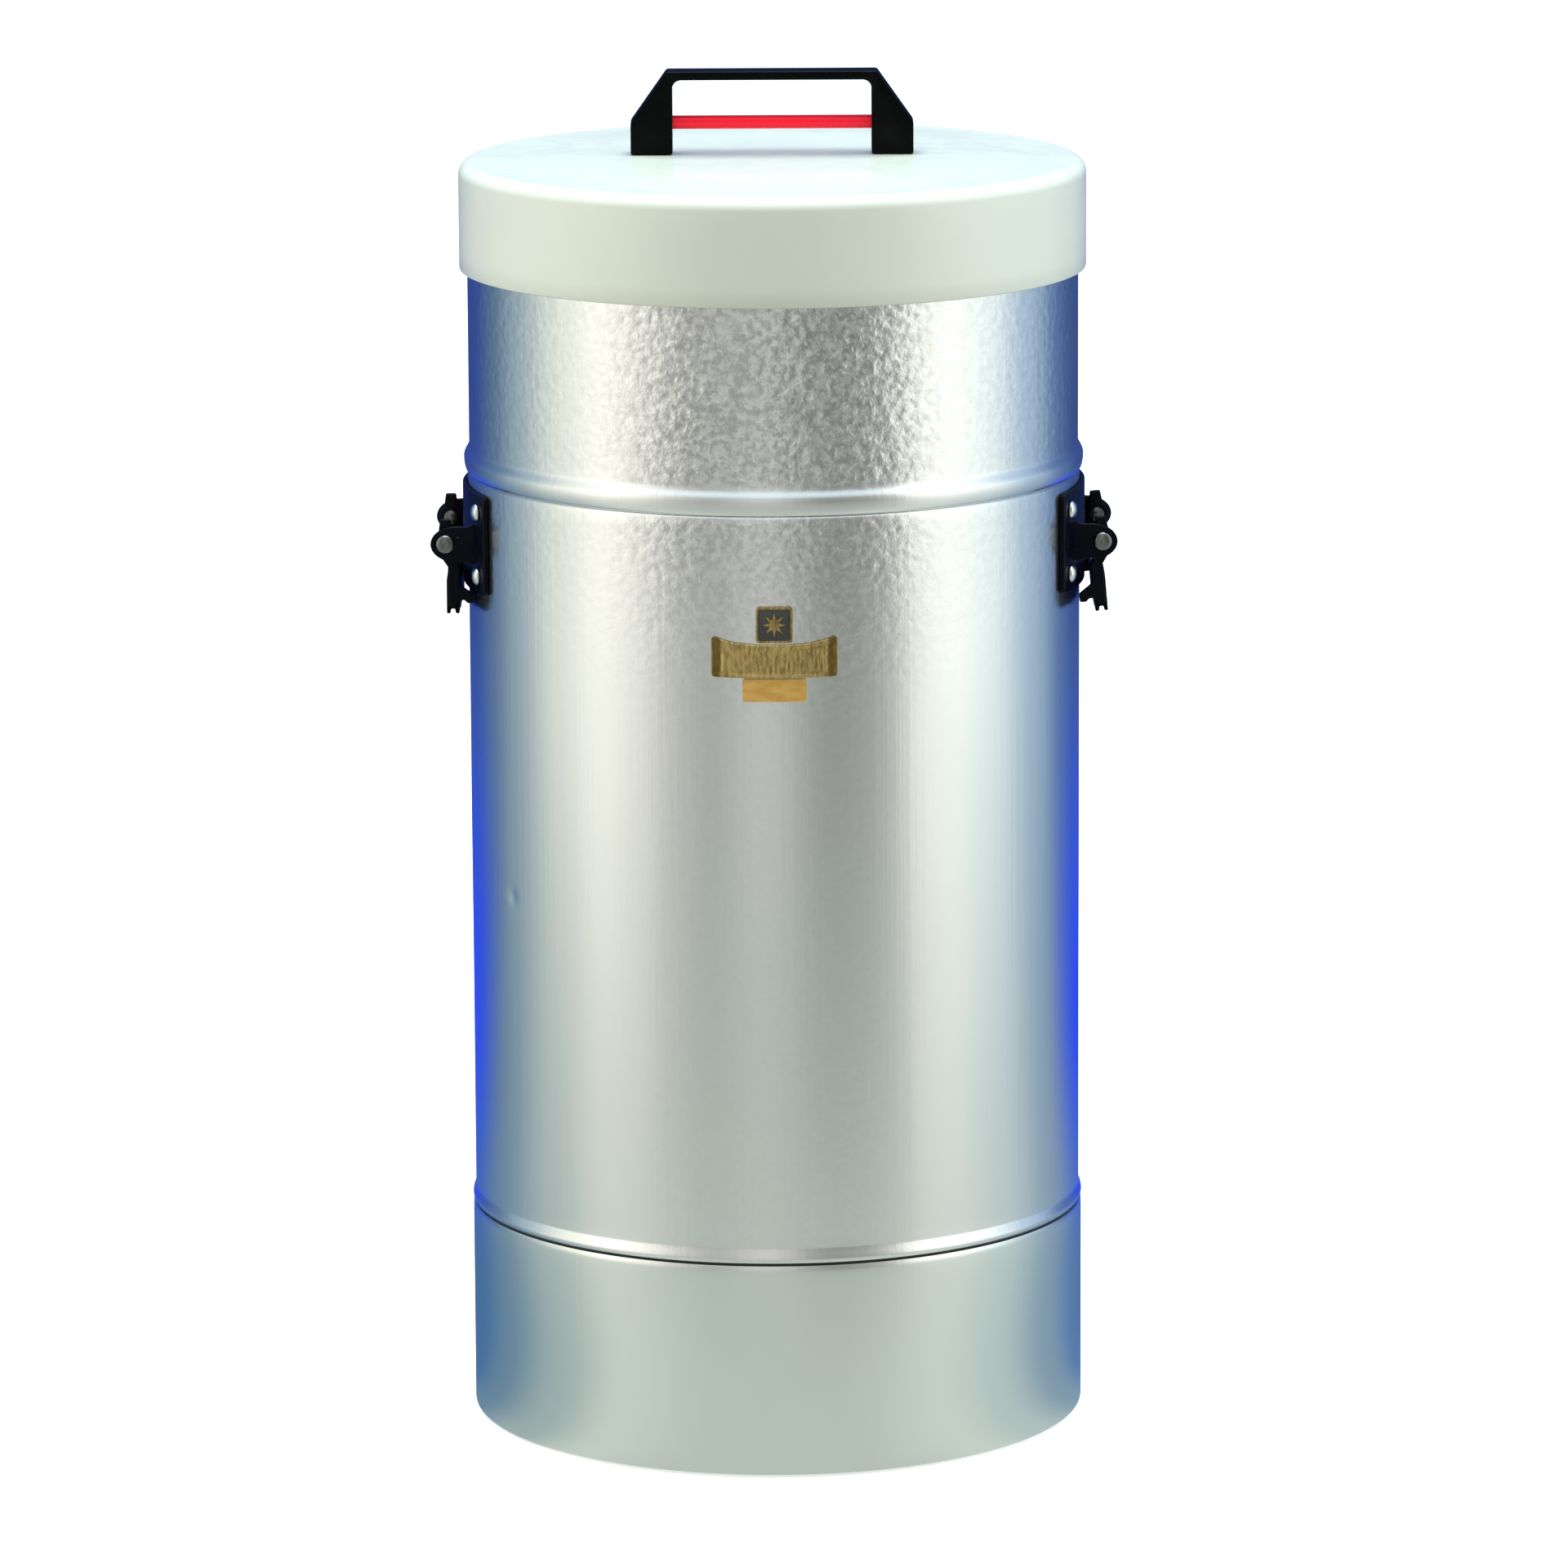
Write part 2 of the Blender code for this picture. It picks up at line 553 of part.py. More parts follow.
def ear_outline():
    """The half-round ear seen along Y: its root reaches into the plate."""
    root_x = math.sqrt(PLATE_OUT_R**2 - (EAR_Y + EAR_THICK) ** 2) - 1.4
    outline = [(root_x, EAR_Z - EAR_RZ - 2), (EAR_CENTRE_X - 5, EAR_Z - EAR_RZ)]
    outline += arc((EAR_CENTRE_X, EAR_Z), (EAR_RX, EAR_RZ), -90, 90, 13)
    return outline + [(EAR_CENTRE_X - 5, EAR_Z + EAR_RZ), (root_x, EAR_Z + EAR_RZ + 2)]


def handle_plate(side, frame):
    """The curved plate with its two folded ears and the pivot holes."""
    band = band_outline(PLATE_IN_R, PLATE_OUT_R, PLATE_HALF, 19)
    plate = piece(f"{side}_handle_plate", prism_mesh(band, *PLATE_Z), "black_steel", frame)
    for end in (-1, 1):
        low = end * EAR_Y - EAR_THICK / 2
        ear = prism_mesh(ear_outline(), low, low + EAR_THICK, "Y")
        combine(plate, piece(f"join_{side}_ear_{end}", ear, None, frame), "UNION")
    bore = rod_mesh(PIN_HOLE_R, -EAR_Y - 9, EAR_Y + 9, "Y", (PIVOT_X, PIVOT_Z), 24)
    combine(plate, piece(f"cut_{side}_bore", bore, None, frame), "DIFFERENCE")
    for number, (y, z) in enumerate(rivet_places(), start=1):
        combine(plate, rivet_hole(f"cut_{side}_plate_{number}", y, z, frame), "DIFFERENCE")
    return plate


def pivot_pin(name, end, frame):
    """A domed pin, riveted through the ear and the bail's eye. end is -1 at the front."""
    face = EAR_Y + EAR_THICK / 2 + GAP
    tip = ARM_Y - ARM_THICK / 2 - GAP
    profile = [(0, face + PIN_HEAD)] + arc((0, face), (PIN_HEAD_R, PIN_HEAD), 65, 0, 4)
    profile += [(PIN_R, face), (PIN_R, tip), (PIN_R + 1, tip), (PIN_R + 0.6, tip - 1), (0, tip - 1)]
    bm = turned_mesh(profile, 12, ring=False)
    for v in bm.verts:  # from standing on Z to lying along Y
        v.co = (v.co.x, end * v.co.z, -end * v.co.y)
    return piece(name, bm, "bright_steel", frame, (PIVOT_X, 0, PIVOT_Z))


def arm_outline():
    """One arm of the bail seen along Y, from the pivot: eye, heel above it, leg and foot."""
    heel_half = ARM_HALF - 0.4
    outline = arc((0, 0), ARM_EYE_R, -45, 55, 6)
    outline += [(heel_half, ARM_HEEL - 0.8), (heel_half - 0.8, ARM_HEEL)]
    outline += [(0.8 - heel_half, ARM_HEEL), (-heel_half, ARM_HEEL - 0.8)]
    outline += arc((0, 0), ARM_EYE_R, 125, 230, 6)
    outline += [(ARM_X - ARM_HALF, -11), (ARM_X - ARM_HALF, -19.5)]
    outline += [(FOOT_X, FOOT_Z + 4), (FOOT_X, FOOT_Z + 1), (FOOT_X + 1, FOOT_Z)]
    outline += [(FOOT_X + 2.5, FOOT_Z), (FOOT_X + 4, FOOT_Z + 1.2), (ARM_X - 1, FOOT_Z + 1.2)]
    outline += [(ARM_X + ARM_HALF - 2, CORE_Z - 6.4), (ARM_X + ARM_HALF - 1, CORE_Z - 6.4)]
    return outline + [(ARM_X + ARM_HALF, CORE_Z - 5.4), (ARM_X + ARM_HALF, -11)]


def bail(side, pivot):
    """The steel bail: two arms with pivot eyes and heels, joined by the core of the grip."""
    core = rod_mesh(CORE_R, -ARM_Y - 0.5, ARM_Y + 0.5, "Y", (CORE_X, CORE_Z), 12)
    made = piece(f"{side}_bail", core, "black_steel", pivot)
    for end in (-1, 1):
        low = end * ARM_Y - ARM_THICK / 2
        arm = prism_mesh(arm_outline(), low, low + ARM_THICK, "Y")
        combine(made, piece(f"join_{side}_arm_{end}", arm, None, pivot), "UNION")
    bore = rod_mesh(PIN_HOLE_R, -ARM_Y - 9, ARM_Y + 9, "Y", (0, 0), 24)
    return combine(made, piece(f"cut_{side}_eyes", bore, None, pivot), "DIFFERENCE")


def grip_outline():
    """The moulded grip seen along Y: a flat oval with a channel along its lower edge."""
    half, top, low = 3.2, CORE_Z + 5.0, CORE_Z - 7.0
    outline = arc((CORE_X, top), (half, 3.0), 0, 180, 7)
    outline += [(CORE_X - half, low), (CORE_X - half + 0.9, low - 3.0)]
    outline += [(CORE_X - 0.9, low - 0.9), (CORE_X + 0.9, low - 0.9)]
    return outline + [(CORE_X + half - 0.9, low - 3.0), (CORE_X + half, low)]


def grip(side, pivot):
    mesh = prism_mesh(grip_outline(), -GRIP_HALF, GRIP_HALF, "Y")
    made = bevel(piece(f"{side}_grip", mesh, "black_plastic", pivot), 0.5, 1, 50)
    bore = rod_mesh(CORE_HOLE_R, -GRIP_HALF - 5, GRIP_HALF + 5, "Y", (CORE_X, CORE_Z), 12)
    return combine(made, piece(f"cut_{side}_grip", bore, None, pivot), "DIFFERENCE")


def side_handle(side, turn, swing, body):
    frame = empty(f"{side}_handle", turn=turn, parent=body)
    pivot = empty(f"{side}_pivot", (PIVOT_X, 0, PIVOT_Z), parent=frame)
    pivot.rotation_euler.y = -math.radians(swing)
    handle_plate(side, frame)
    for number, (y, z) in enumerate(rivet_places(), start=1):
        rivet(f"{side}_rivet_{number}", y, z, frame)
    near, far = ("front", "rear") if turn == 0 else ("rear", "front")
    pivot_pin(f"{side}_pin_{near}", -1, frame)
    pivot_pin(f"{side}_pin_{far}", 1, frame)
    bail(side, pivot)
    grip(side, pivot)


# ------------------------------------------------------------------ badge


def badge_plate(name, size, z, slot, body):
    """A thin plate, curved to the casing, centred on the front at height z."""
    width, height, thick = size
    band = band_outline(BADGE_R, BADGE_R + thick, width / 2, 9)
    made = piece(name, prism_mesh(band, z - height / 2, z + height / 2), slot, body)
    made.rotation_euler.z = math.radians(-90)
    return made


def badge(body):
    above = BADGE_Z + NAMEPLATE[1] / 2 + 0.4 + EMBLEM[1] / 2
    below = BADGE_Z - NAMEPLATE[1] / 2 - 1.0 - LABEL[1] / 2
    badge_plate("nameplate", NAMEPLATE, BADGE_Z, "brass", body)
    badge_plate("emblem_tile", EMBLEM, above, "emblem_enamel", body)
    badge_plate("label_strip", LABEL, below, "amber_label", body)


# ------------------------------------------------------------------ assembly


def main():
    for obj in list(bpy.data.objects):
        bpy.data.objects.remove(obj)
    casing = empty("casing")
    lid = empty("lid")
    for make in (casing_upper, casing_main, base_cup, foot_ring, neck_ring, rim_gasket,
                 glass_inner, glass_outer, glass_support, badge):
        make(casing)
    for name, z in PACKING_Z.items():
        packing_ring(name, z, casing)
    for number in (1, 2, 3):
        vacuum_spacer(number, casing)
    for make in (lid_shell, lid_insulation, lid_gasket, lid_handle, crossbar, handle_strap):
        make(lid)
    handle_screw("handle_screw_left", -1, lid)
    handle_screw("handle_screw_right", 1, lid)
    side_handle("right", 0.0, RIGHT_SWING, casing)
    side_handle("left", math.pi, 0.0, casing)


main()
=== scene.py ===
"""Looks of a laboratory dewar for liquid nitrogen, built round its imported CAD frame.

Lengths are in millimetres and become metres where a mesh is made. The nameplate faces -Y, the
folding handles are at +X and -X, and +Z is up. Angles about the dewar's axis are in degrees,
from +X towards +Y, so that -90 is the front.
"""

import math

import bmesh
import bpy
from mathutils import Matrix, Vector, noise

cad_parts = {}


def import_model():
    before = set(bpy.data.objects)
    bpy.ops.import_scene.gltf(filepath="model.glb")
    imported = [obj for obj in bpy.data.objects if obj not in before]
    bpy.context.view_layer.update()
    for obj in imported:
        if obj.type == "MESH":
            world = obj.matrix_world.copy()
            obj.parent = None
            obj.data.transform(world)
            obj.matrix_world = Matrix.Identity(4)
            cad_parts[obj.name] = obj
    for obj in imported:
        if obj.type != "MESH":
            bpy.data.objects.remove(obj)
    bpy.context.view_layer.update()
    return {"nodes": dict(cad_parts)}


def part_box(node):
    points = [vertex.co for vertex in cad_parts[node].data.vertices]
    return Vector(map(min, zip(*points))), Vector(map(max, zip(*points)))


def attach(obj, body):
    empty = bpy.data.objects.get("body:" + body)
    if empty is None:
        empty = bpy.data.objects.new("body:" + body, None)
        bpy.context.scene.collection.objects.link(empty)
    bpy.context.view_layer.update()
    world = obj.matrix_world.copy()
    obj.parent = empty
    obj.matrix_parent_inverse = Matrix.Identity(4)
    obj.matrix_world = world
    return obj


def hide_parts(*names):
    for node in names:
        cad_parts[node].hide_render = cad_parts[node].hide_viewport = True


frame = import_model()

MM = 0.001
GAP = 0.3
FRONT, BACK = -90.0, 90.0


def extent(node):
    """Lowest and highest corner of a CAD node, in millimetres."""
    low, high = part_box(node)
    return low / MM, high / MM


def heights(node):
    """Lowest and highest Z of a CAD node, in millimetres."""
    low, high = extent(node)
    return low.z, high.z


# ---- Casing ----
SHEET = 1.2
LAP_PLAY = 0.4
BEAD_PROUD = 2.4
UPPER_BEAD_HALF, LOWER_BEAD_HALF = 4.0, 5.0
UPPER_FLARE, UPPER_CREST = 6.4, 2.9  # height of the flare, and crest above the bead's middle
LOWER_FLARE, LOWER_CREST, LOWER_PROUD = 5.4, -3.2, 1.3
BASE_GAP = 1.0  # gap between main sleeve and base, darkened by the black ring set in it: painted shade
UPPER_FOOT_Z, SLEEVE_TOP_Z = heights("casing_upper")
UPPER_R = extent("casing_upper")[1].x - BEAD_PROUD
MAIN_FOOT_Z, MAIN_TOP_Z = heights("casing_main")
MAIN_R = extent("casing_main")[1].x - BEAD_PROUD
BASE_FOOT_Z, BASE_TOP_Z = heights("base_cup")
BASE_R = extent("base_cup")[1].x
BASE_CORNER_R = 3.0
GROOVE_IN_R, GROOVE_OUT_R, GROOVE_DEPTH = 108.8, 130.2, 3.2
SHELL_STEPS = 240
WALL_STEP = 6.0  # height of the sleeves' faces
SEAM_HALF, SEAM_PROUD = 3.4, 0.5  # folded seam down the back
DENT = (-148.5, 255.0, 3.4, 0.45)  # angle, height, radius, depth

# ---- Glass, neck and packing ----
GLASS = 3.0
INNER_R, OUTER_R = 112.0, 126.0
RIM_CENTRE_R, RIM_BEND = 119.0, 7.0
RIM_SEAM_Z = extent("glass_inner")[1].z - RIM_BEND
INNER_BOTTOM_Z = extent("glass_inner")[0].z
OUTER_BOTTOM_Z = 24.0
DOME_DEPTH = 45.0
TIP_R, TIP_LENGTH = 5.0, 11.0
NECK_MOUTH_R = 117.5
NECK_TOP_Z = extent("neck_ring")[1].z
FLASK_STEPS = 160

# ---- Lid ----
LID_R = extent("lid_shell")[1].x
LID_SKIRT_Z, LID_CROWN_Z = heights("lid_shell")
LID_CROWN = 2.3
LID_EDGE_Z = LID_CROWN_Z - LID_CROWN
LID_FLAT_R, LID_EDGE_R = 75.0, 6.0
LID_WALL, LID_ROOF = 2.4, 3.0
FOAM_FOOT_Z, FOAM_TOP_Z = heights("lid_insulation")
FOAM_R = extent("lid_insulation")[1].x
DISC_Z = 558.0
PLUG_R, PLUG_TAPER = 107.0, 2.0

# ---- Bow handle ----
BOW_FOOT_Z = extent("lid_handle")[0].z
BOW_HEIGHT = extent("lid_handle")[1].z - BOW_FOOT_Z
BOW_HALF, BOW_DEPTH = extent("lid_handle")[1].x, extent("lid_handle")[1].y * 2
BOW_OPENING_HALF, BOW_BAR, BOW_SHOULDER_Z, BOW_TOP_HALF = 45.2, 4.0, 14.6, 47.8

# ---- Side handles: local to a handle at +X, or to its pivot ----
PLATE_IN_R, PLATE_THICK = MAIN_R + GAP, 2.0
PLATE_OUT_R = PLATE_IN_R + PLATE_THICK
PLATE_HALF, PLATE_Z = 54.5, (389.7, 435.2)
RIVET_Y, RIVET_Z = 46.0, (397.7, 427.0)
RIVET_HEAD_R, RIVET_HEAD = 4.0, 2.3
EAR_Y, EAR_THICK = 39.4, 2.4
EAR_CENTRE, EAR_REACH = (144.4, 411.4), (11.6, 8.2)
PIVOT = Vector((149.2, 0.0, 411.6))
PIN_HEAD_R, PIN_HEAD = 4.2, 2.0
ARM_Y, ARM_THICK, ARM_HALF, ARM_EYE_R = 36.2, 3.0, 2.8, 5.6
ARM_X = -3.7  # middle of the legs, from the pivot
FOOT_X, FOOT_Z = -12.7, -27.8  # inner corner of the legs' feet, from the pivot
ARM_HEEL = PIVOT.x - math.sqrt(PLATE_OUT_R**2 - (ARM_Y - ARM_THICK / 2) ** 2) - GAP
CORE_R, CORE_X, CORE_Z = 2.0, -3.0, -23.0
GRIP_HALF = 34.4
SWING = {"right": 5.0, "left": 0.0}
TURN = {"right": 0.0, "left": 180.0}

# ---- Badge ----
BADGE_R = MAIN_R + GAP

ROD_LINES = (0.8, 3.0, 0.5, (60, 1, 1))  # noise drawn out along the rod
LOOKS = {}  # the material and the CAD material slot that go by each short name


# ---- mesh helpers ----


def spin(angle, axis="Z"):
    return Matrix.Rotation(math.radians(angle), 4, axis)


def clamped(share):
    return min(1.0, max(0.0, share))


def eased(share):
    return share * share * (3 - 2 * share)


def arc(centre, radius, start, end, count):
    """Points on an arc or, with radius as a pair, on an ellipse. Angles are in degrees."""
    across, up = radius if isinstance(radius, tuple) else (radius, radius)
    turns = [math.radians(start + (end - start) * i / (count - 1)) for i in range(count)]
    return [(centre[0] + across * math.cos(t), centre[1] + up * math.sin(t)) for t in turns]


def rounded(corners, closed=True, steps=6):
    """Straight lines through corners (a, b, radius), each corner turned into an arc."""
    points = []
    for i, (a, b, radius) in enumerate(corners):
        here = Vector((a, b))
        ahead = Vector(corners[(i + 1) % len(corners)][:2]) - here
        behind = Vector(corners[i - 1][:2]) - here
        if radius <= 0 or (not closed and i in (0, len(corners) - 1)):
            points.append((a, b))
            continue
        half = ahead.angle(behind) / 2
        reach = min(radius / math.tan(half), 0.49 * min(ahead.length, behind.length))
        inward = (ahead.normalized() + behind.normalized()).normalized()
        centre = here + inward * (reach / math.cos(half))
        first = here + behind.normalized() * reach - centre
        last = here + ahead.normalized() * reach - centre
        swept = first.angle_signed(last)
        for k in range(steps + 1):
            arm = Matrix.Rotation(-swept * k / steps, 2) @ first
            points.append(tuple(centre + arm))
    return points


def rectangle(left, right, low, high, corner, steps=6):
    return rounded([(left, low, corner), (right, low, corner), (right, high, corner),
                    (left, high, corner)], steps=steps)


def split(points, longest, closed=True):
    """Adds points so that no straight run is longer than longest."""
    out = []
    for here, there in zip(points, points[1:] + points[:1] if closed else points[1:]):
        count = max(1, math.ceil(math.dist(here, there) / longest))
        out += [tuple(Vector(here).lerp(Vector(there), k / count)) for k in range(count)]
    return out if closed else out + [points[-1]]


def around(count, *extra):
    """Angles in radians: count even steps, with extra ones given in degrees."""
    turns = {round(360 * i / count, 3) for i in range(count)}
    turns |= {round(angle % 360, 3) for angle in extra}
    return [math.radians(t) for t in sorted(turns)]


def turned(profile, turns, closed=True, shape=None):
    """A profile of (radius, z) turned about Z. An open one starts and ends on the axis.

    turns is a number of steps or a list of angles. shape(angle, radius, z) may move a point.
    """
    if isinstance(turns, int):
        turns = around(turns)
    bm = bmesh.new()
    rings = []
    for radius, z in profile:
        ring = []
        for turn in turns if radius > 1e-6 else turns[:1]:
            r, height = shape(turn, radius, z) if shape else (radius, z)
            ring.append(bm.verts.new((r * math.cos(turn), r * math.sin(turn), height)))
        rings.append(ring)
    count = len(turns)
    for one, two in zip(rings, rings[1:] + rings[:1] if closed else rings[1:]):
        for i in range(count):
            j = (i + 1) % count
            corners = [one[i % len(one)], one[j % len(one)],
                       two[j % len(two)], two[i % len(two)]]
            corners = list(dict.fromkeys(corners))
            if len(corners) > 2:
                bm.faces.new(corners)
    return bm


def solid(profile, longest, turns, shape=None):
    """An open profile, with points added so that no straight run is longer than longest."""
    return turned(split(profile, longest, False), turns, closed=False, shape=shape)


def prism(outline, low, high, lift="Z"):
    """An outline of two coordinates, extruded from low to high along the axis lift."""
    def place(a, b, c):
        return {"X": (c, a, b), "Y": (a, c, b), "Z": (a, b, c)}[lift]

    bm = bmesh.new()
    face = bm.faces.new([bm.verts.new(place(a, b, low)) for a, b in outline])
    grown = bmesh.ops.extrude_face_region(bm, geom=[face])["geom"]
    moved = [v for v in grown if isinstance(v, bmesh.types.BMVert)]
    bmesh.ops.translate(bm, verts=moved, vec=place(0, 0, high - low))
    bmesh.ops.recalc_face_normals(bm, faces=bm.faces)
    return bm


def soften(bm, width, segments=3, angle=40):
    """Rounds the edges that are sharper than angle."""
    sharp = [e for e in bm.edges if len(e.link_faces) == 2
             and e.calc_face_angle() > math.radians(angle)]
    bmesh.ops.bevel(bm, geom=sharp, offset=width, segments=segments, profile=0.5,
                    affect="EDGES", clamp_overlap=True)
    return bm


def slices(bm, axis, places):
    """Cuts every face along planes across an axis, so that the mesh can bend."""
    normal = Vector([float(i == axis) for i in range(3)])
    for place in places:
        bmesh.ops.bisect_plane(bm, geom=bm.verts[:] + bm.edges[:] + bm.faces[:], dist=1e-5,
                               plane_co=normal * place, plane_no=normal)
    return bm


def steps(low, high, longest):
    """Places between low and high, no further apart than longest."""
    count = max(1, math.ceil((high - low) / longest))
    return [low + (high - low) * k / count for k in range(1, count)]


def bent(bm, radius, half, longest=3.0):
    """Bends a plate that lies along Y, with its back at x = 0, round the Z axis."""
    slices(bm, 1, steps(-half, half, longest))
    for v in bm.verts:
        turn, r = v.co.y / radius, radius + v.co.x
        v.co = (r * math.cos(turn), r * math.sin(turn), v.co.z)
    return bm


def boolean(bm, other, operation):
    """The exact union or difference of two closed meshes, as a new bmesh."""
    objects = []
    for source in (bm, other):
        mesh = bpy.data.meshes.new("spare")
        bmesh.ops.recalc_face_normals(source, faces=source.faces)
        source.to_mesh(mesh)
        source.free()
        objects.append(bpy.data.objects.new("spare", mesh))
        bpy.context.scene.collection.objects.link(objects[-1])
    modifier = objects[0].modifiers.new("boolean", "BOOLEAN")
    modifier.operation, modifier.solver, modifier.object = operation, "EXACT", objects[1]
    result = bpy.data.meshes.new_from_object(
        objects[0].evaluated_get(bpy.context.evaluated_depsgraph_get()))
    made = bmesh.new()
    made.from_mesh(result)
    for used in objects:
        mesh = used.data
        bpy.data.objects.remove(used)
        bpy.data.meshes.remove(mesh)
    bpy.data.meshes.remove(result)
    return made


def piece(name, bm, look, replaces=(), matrix=None, body="casing", sharp=40):
    """Turns a bmesh in millimetres into a piece that rides on a CAD body."""
    if matrix:
        bmesh.ops.transform(bm, matrix=matrix, verts=bm.verts)
    bmesh.ops.recalc_face_normals(bm, faces=bm.faces)
    bmesh.ops.scale(bm, vec=(MM, MM, MM), verts=bm.verts)
    mesh = bpy.data.meshes.new(name)
    bm.to_mesh(mesh)
    bm.free()
    mesh.shade_smooth()
    mesh.set_sharp_from_angle(angle=math.radians(sharp))
    material, slot = LOOKS[look]
    mesh.materials.append(material)
    made = bpy.data.objects.new(name, mesh)
    bpy.context.scene.collection.objects.link(made)
    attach(made, body)
    if replaces:
        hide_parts(*replaces)
    return made


# ---- material helpers ----


class Look:
    """A procedural material. Its patterns have their sizes in millimetres."""

    def __init__(self, name, **values):
        self.material = bpy.data.materials.new(name)
        self.material.use_nodes = True
        self.tree = self.material.node_tree
        self.shader = self.tree.nodes["Principled BSDF"]
        self.place = self.node("ShaderNodeTexCoord").outputs["Object"]
        for key, value in values.items():
            self.set(key.replace("_", " ").title().replace("Ior", "IOR"), value)

    def node(self, kind, inputs=None, **settings):
        return add_node(self.tree, kind, inputs, **settings)

    def set(self, name, value):
        give(self.tree, self.shader.inputs[name], value)

    def done(self, colour, roughness, normal):
        """The material, with its colour, roughness and normal linked or set."""
        for name, value in (("Base Color", colour), ("Roughness", roughness),
                            ("Normal", normal)):
            self.set(name, value)
        return self.material

    def rough(self, value, low, high):
        """value's usual range of noise carried to low..high."""
        return self.span(value, 0.3, 0.7, low, high)

    def stretched(self, size, stretch):
        scale = [1 / (size * MM * s) for s in stretch]
        return self.node("ShaderNodeMapping", {"Vector": self.place, "Scale": scale}).outputs[0]

    def noise(self, size, detail=3.0, rough=0.5, stretch=(1, 1, 1), distort=0.0):
        """Noise whose features are about size long, times stretch along each axis."""
        inputs = {"Vector": self.stretched(size, stretch), "Scale": 1.0, "Detail": detail,
                  "Roughness": rough, "Distortion": distort}
        return self.node("ShaderNodeTexNoise", inputs).outputs["Fac"]

    def cells(self, size, stretch=(1, 1, 1), feature="F1"):
        inputs = {"Vector": self.stretched(size, stretch), "Scale": 1.0}
        made = self.node("ShaderNodeTexVoronoi", inputs, feature=feature)
        return made.outputs["Distance"]

    def axis(self, name):
        return self.node("ShaderNodeSeparateXYZ", {"Vector": self.place}).outputs[name]

    def height(self, low, high, near=0.0, far=1.0):
        """near below the height low, far above the height high, and smooth between."""
        return ranged(self.tree, self.axis("Z"), low * MM, high * MM, near, far, "SMOOTHSTEP")

    def span(self, value, low, high, near=0.0, far=1.0):
        return ranged(self.tree, value, low, high, near, far)

    def maths(self, operation, one, two=0.0):
        return sums(self.tree, operation, one, two)

    def times(self, one, two):
        return self.maths("MULTIPLY", one, two)

    def plus(self, one, two):
        return self.maths("ADD", one, two)

    def mix(self, share, one, two):
        return blend(self.tree, share, one, two)

    def grain(self, depth, *size, under=None, **more):
        """A bump of noise: depth in millimetres, then what noise() is given."""
        return self.bump(self.noise(*size, **more), depth, under)

    def bump(self, height, depth, under=None):
        """A surface raised by height, which is about 0 to 1, times depth in millimetres."""
        inputs = {"Height": height, "Distance": depth * MM, "Strength": 1.0}
        if under is not None:
            inputs["Normal"] = under
        return self.node("ShaderNodeBump", inputs).outputs["Normal"]


def give(tree, socket, value):
    """Links a socket to value, or sets it."""
    if isinstance(value, bpy.types.NodeSocket):
        tree.links.new(value, socket)
    elif socket.type == "RGBA":
        socket.default_value = (*value[:3], 1.0)
    else:
        socket.default_value = value


def add_node(tree, kind, inputs=None, **settings):
    made = tree.nodes.new(kind)
    for name, value in settings.items():
        setattr(made, name, value)
    for name, value in (inputs or {}).items():
        give(tree, made.inputs[name], value)
    return made


def sums(tree, operation, one, two=0.0):
    return add_node(tree, "ShaderNodeMath", {0: one, 1: two}, operation=operation).outputs[0]


def blend(tree, share, one, two):
    """The colour one where share is 0, and two where it is 1."""
    inputs = {0: share, 6: one, 7: two}
    return add_node(tree, "ShaderNodeMix", inputs, data_type="RGBA").outputs[2]


def ranged(tree, value, low, high, near=0.0, far=1.0, kind="LINEAR"):
    """value carried from low..high to near..far, and held there beyond."""
    inputs = {"Value": value, "From Min": low, "From Max": high, "To Min": near, "To Max": far}
    return add_node(tree, "ShaderNodeMapRange", inputs, interpolation_type=kind).outputs[0]


# ---- materials ----


def clouded(name, colours, cloud, matt, rough, grain, depth, **values):
    """Two colours mixed by noise. cloud, matt and grain each say what noise() is given: for the
    colour, for the roughness between the two values of rough, and for a bump of this depth.
    """
    look = Look(name, **values)
    return look.done(look.mix(look.noise(*cloud), *colours),
                     look.rough(look.noise(*matt), *rough), look.grain(depth, *grain))


def sheet_aluminium(name, mottle, tint=(1.0, 1.0, 1.0)):
    """Rolled sheet: fine lines up and down, and a crackled grain that fades downwards and
    towards the sides; its dark flecks are painted reflection.
    """
    look = Look(name, metallic=1.0)
    grain = look.noise(3.4, rough=0.6, distort=0.3)
    specks = look.cells(4.4, feature="SMOOTH_F1")
    fine = look.noise(0.7, 2.0)
    lines = look.noise(2.4, 4.0, rough=0.55, stretch=(1, 1, 90))
    cloud = look.noise(55.0, stretch=(1, 1, 2.5))
    strength = look.height(335.0, 500.0, 0.05 * mottle, mottle)
    crest = UPPER_FOOT_Z + UPPER_BEAD_HALF
    plain = look.plus(look.height(crest + 6, crest + 12),
                      look.height(crest - 8, crest - 3, 1, 0))
    strength = look.times(strength, plain)
    # the crackle and its dark flecks fade towards the sides, where the bright reflected bands
    # would wash them out: painted highlight, leaving the sides lighter and plainer
    aside = look.maths("ABSOLUTE", look.axis("X"))
    strength = look.times(strength, look.span(aside, 42 * MM, 78 * MM, 1.0, 0.22))
    crackle = look.times(look.plus(look.times(specks, 0.8), look.times(grain, 0.7)), strength)
    # the dark flecks paint the dented sheet's mottled reflection into the colour: painted
    # reflection over the real crackle
    light = [0.92 * t for t in tint]
    dark = [0.58 * t for t in tint]
    painted_reflection_flecks = look.mix(look.times(look.span(grain, 0.42, 0.60), strength), light, dark)
    colour = look.mix(look.span(cloud, 0.35, 0.75, 0.0, 0.3), painted_reflection_flecks,
                      [0.80 * t for t in tint])
    under = look.bump(lines, 0.05)
    under = look.bump(fine, 0.006, under)
    return look.done(colour,
                     look.plus(look.rough(cloud, 0.19, 0.24), look.times(strength, 0.02)),
                     look.bump(crackle, 0.66, under))


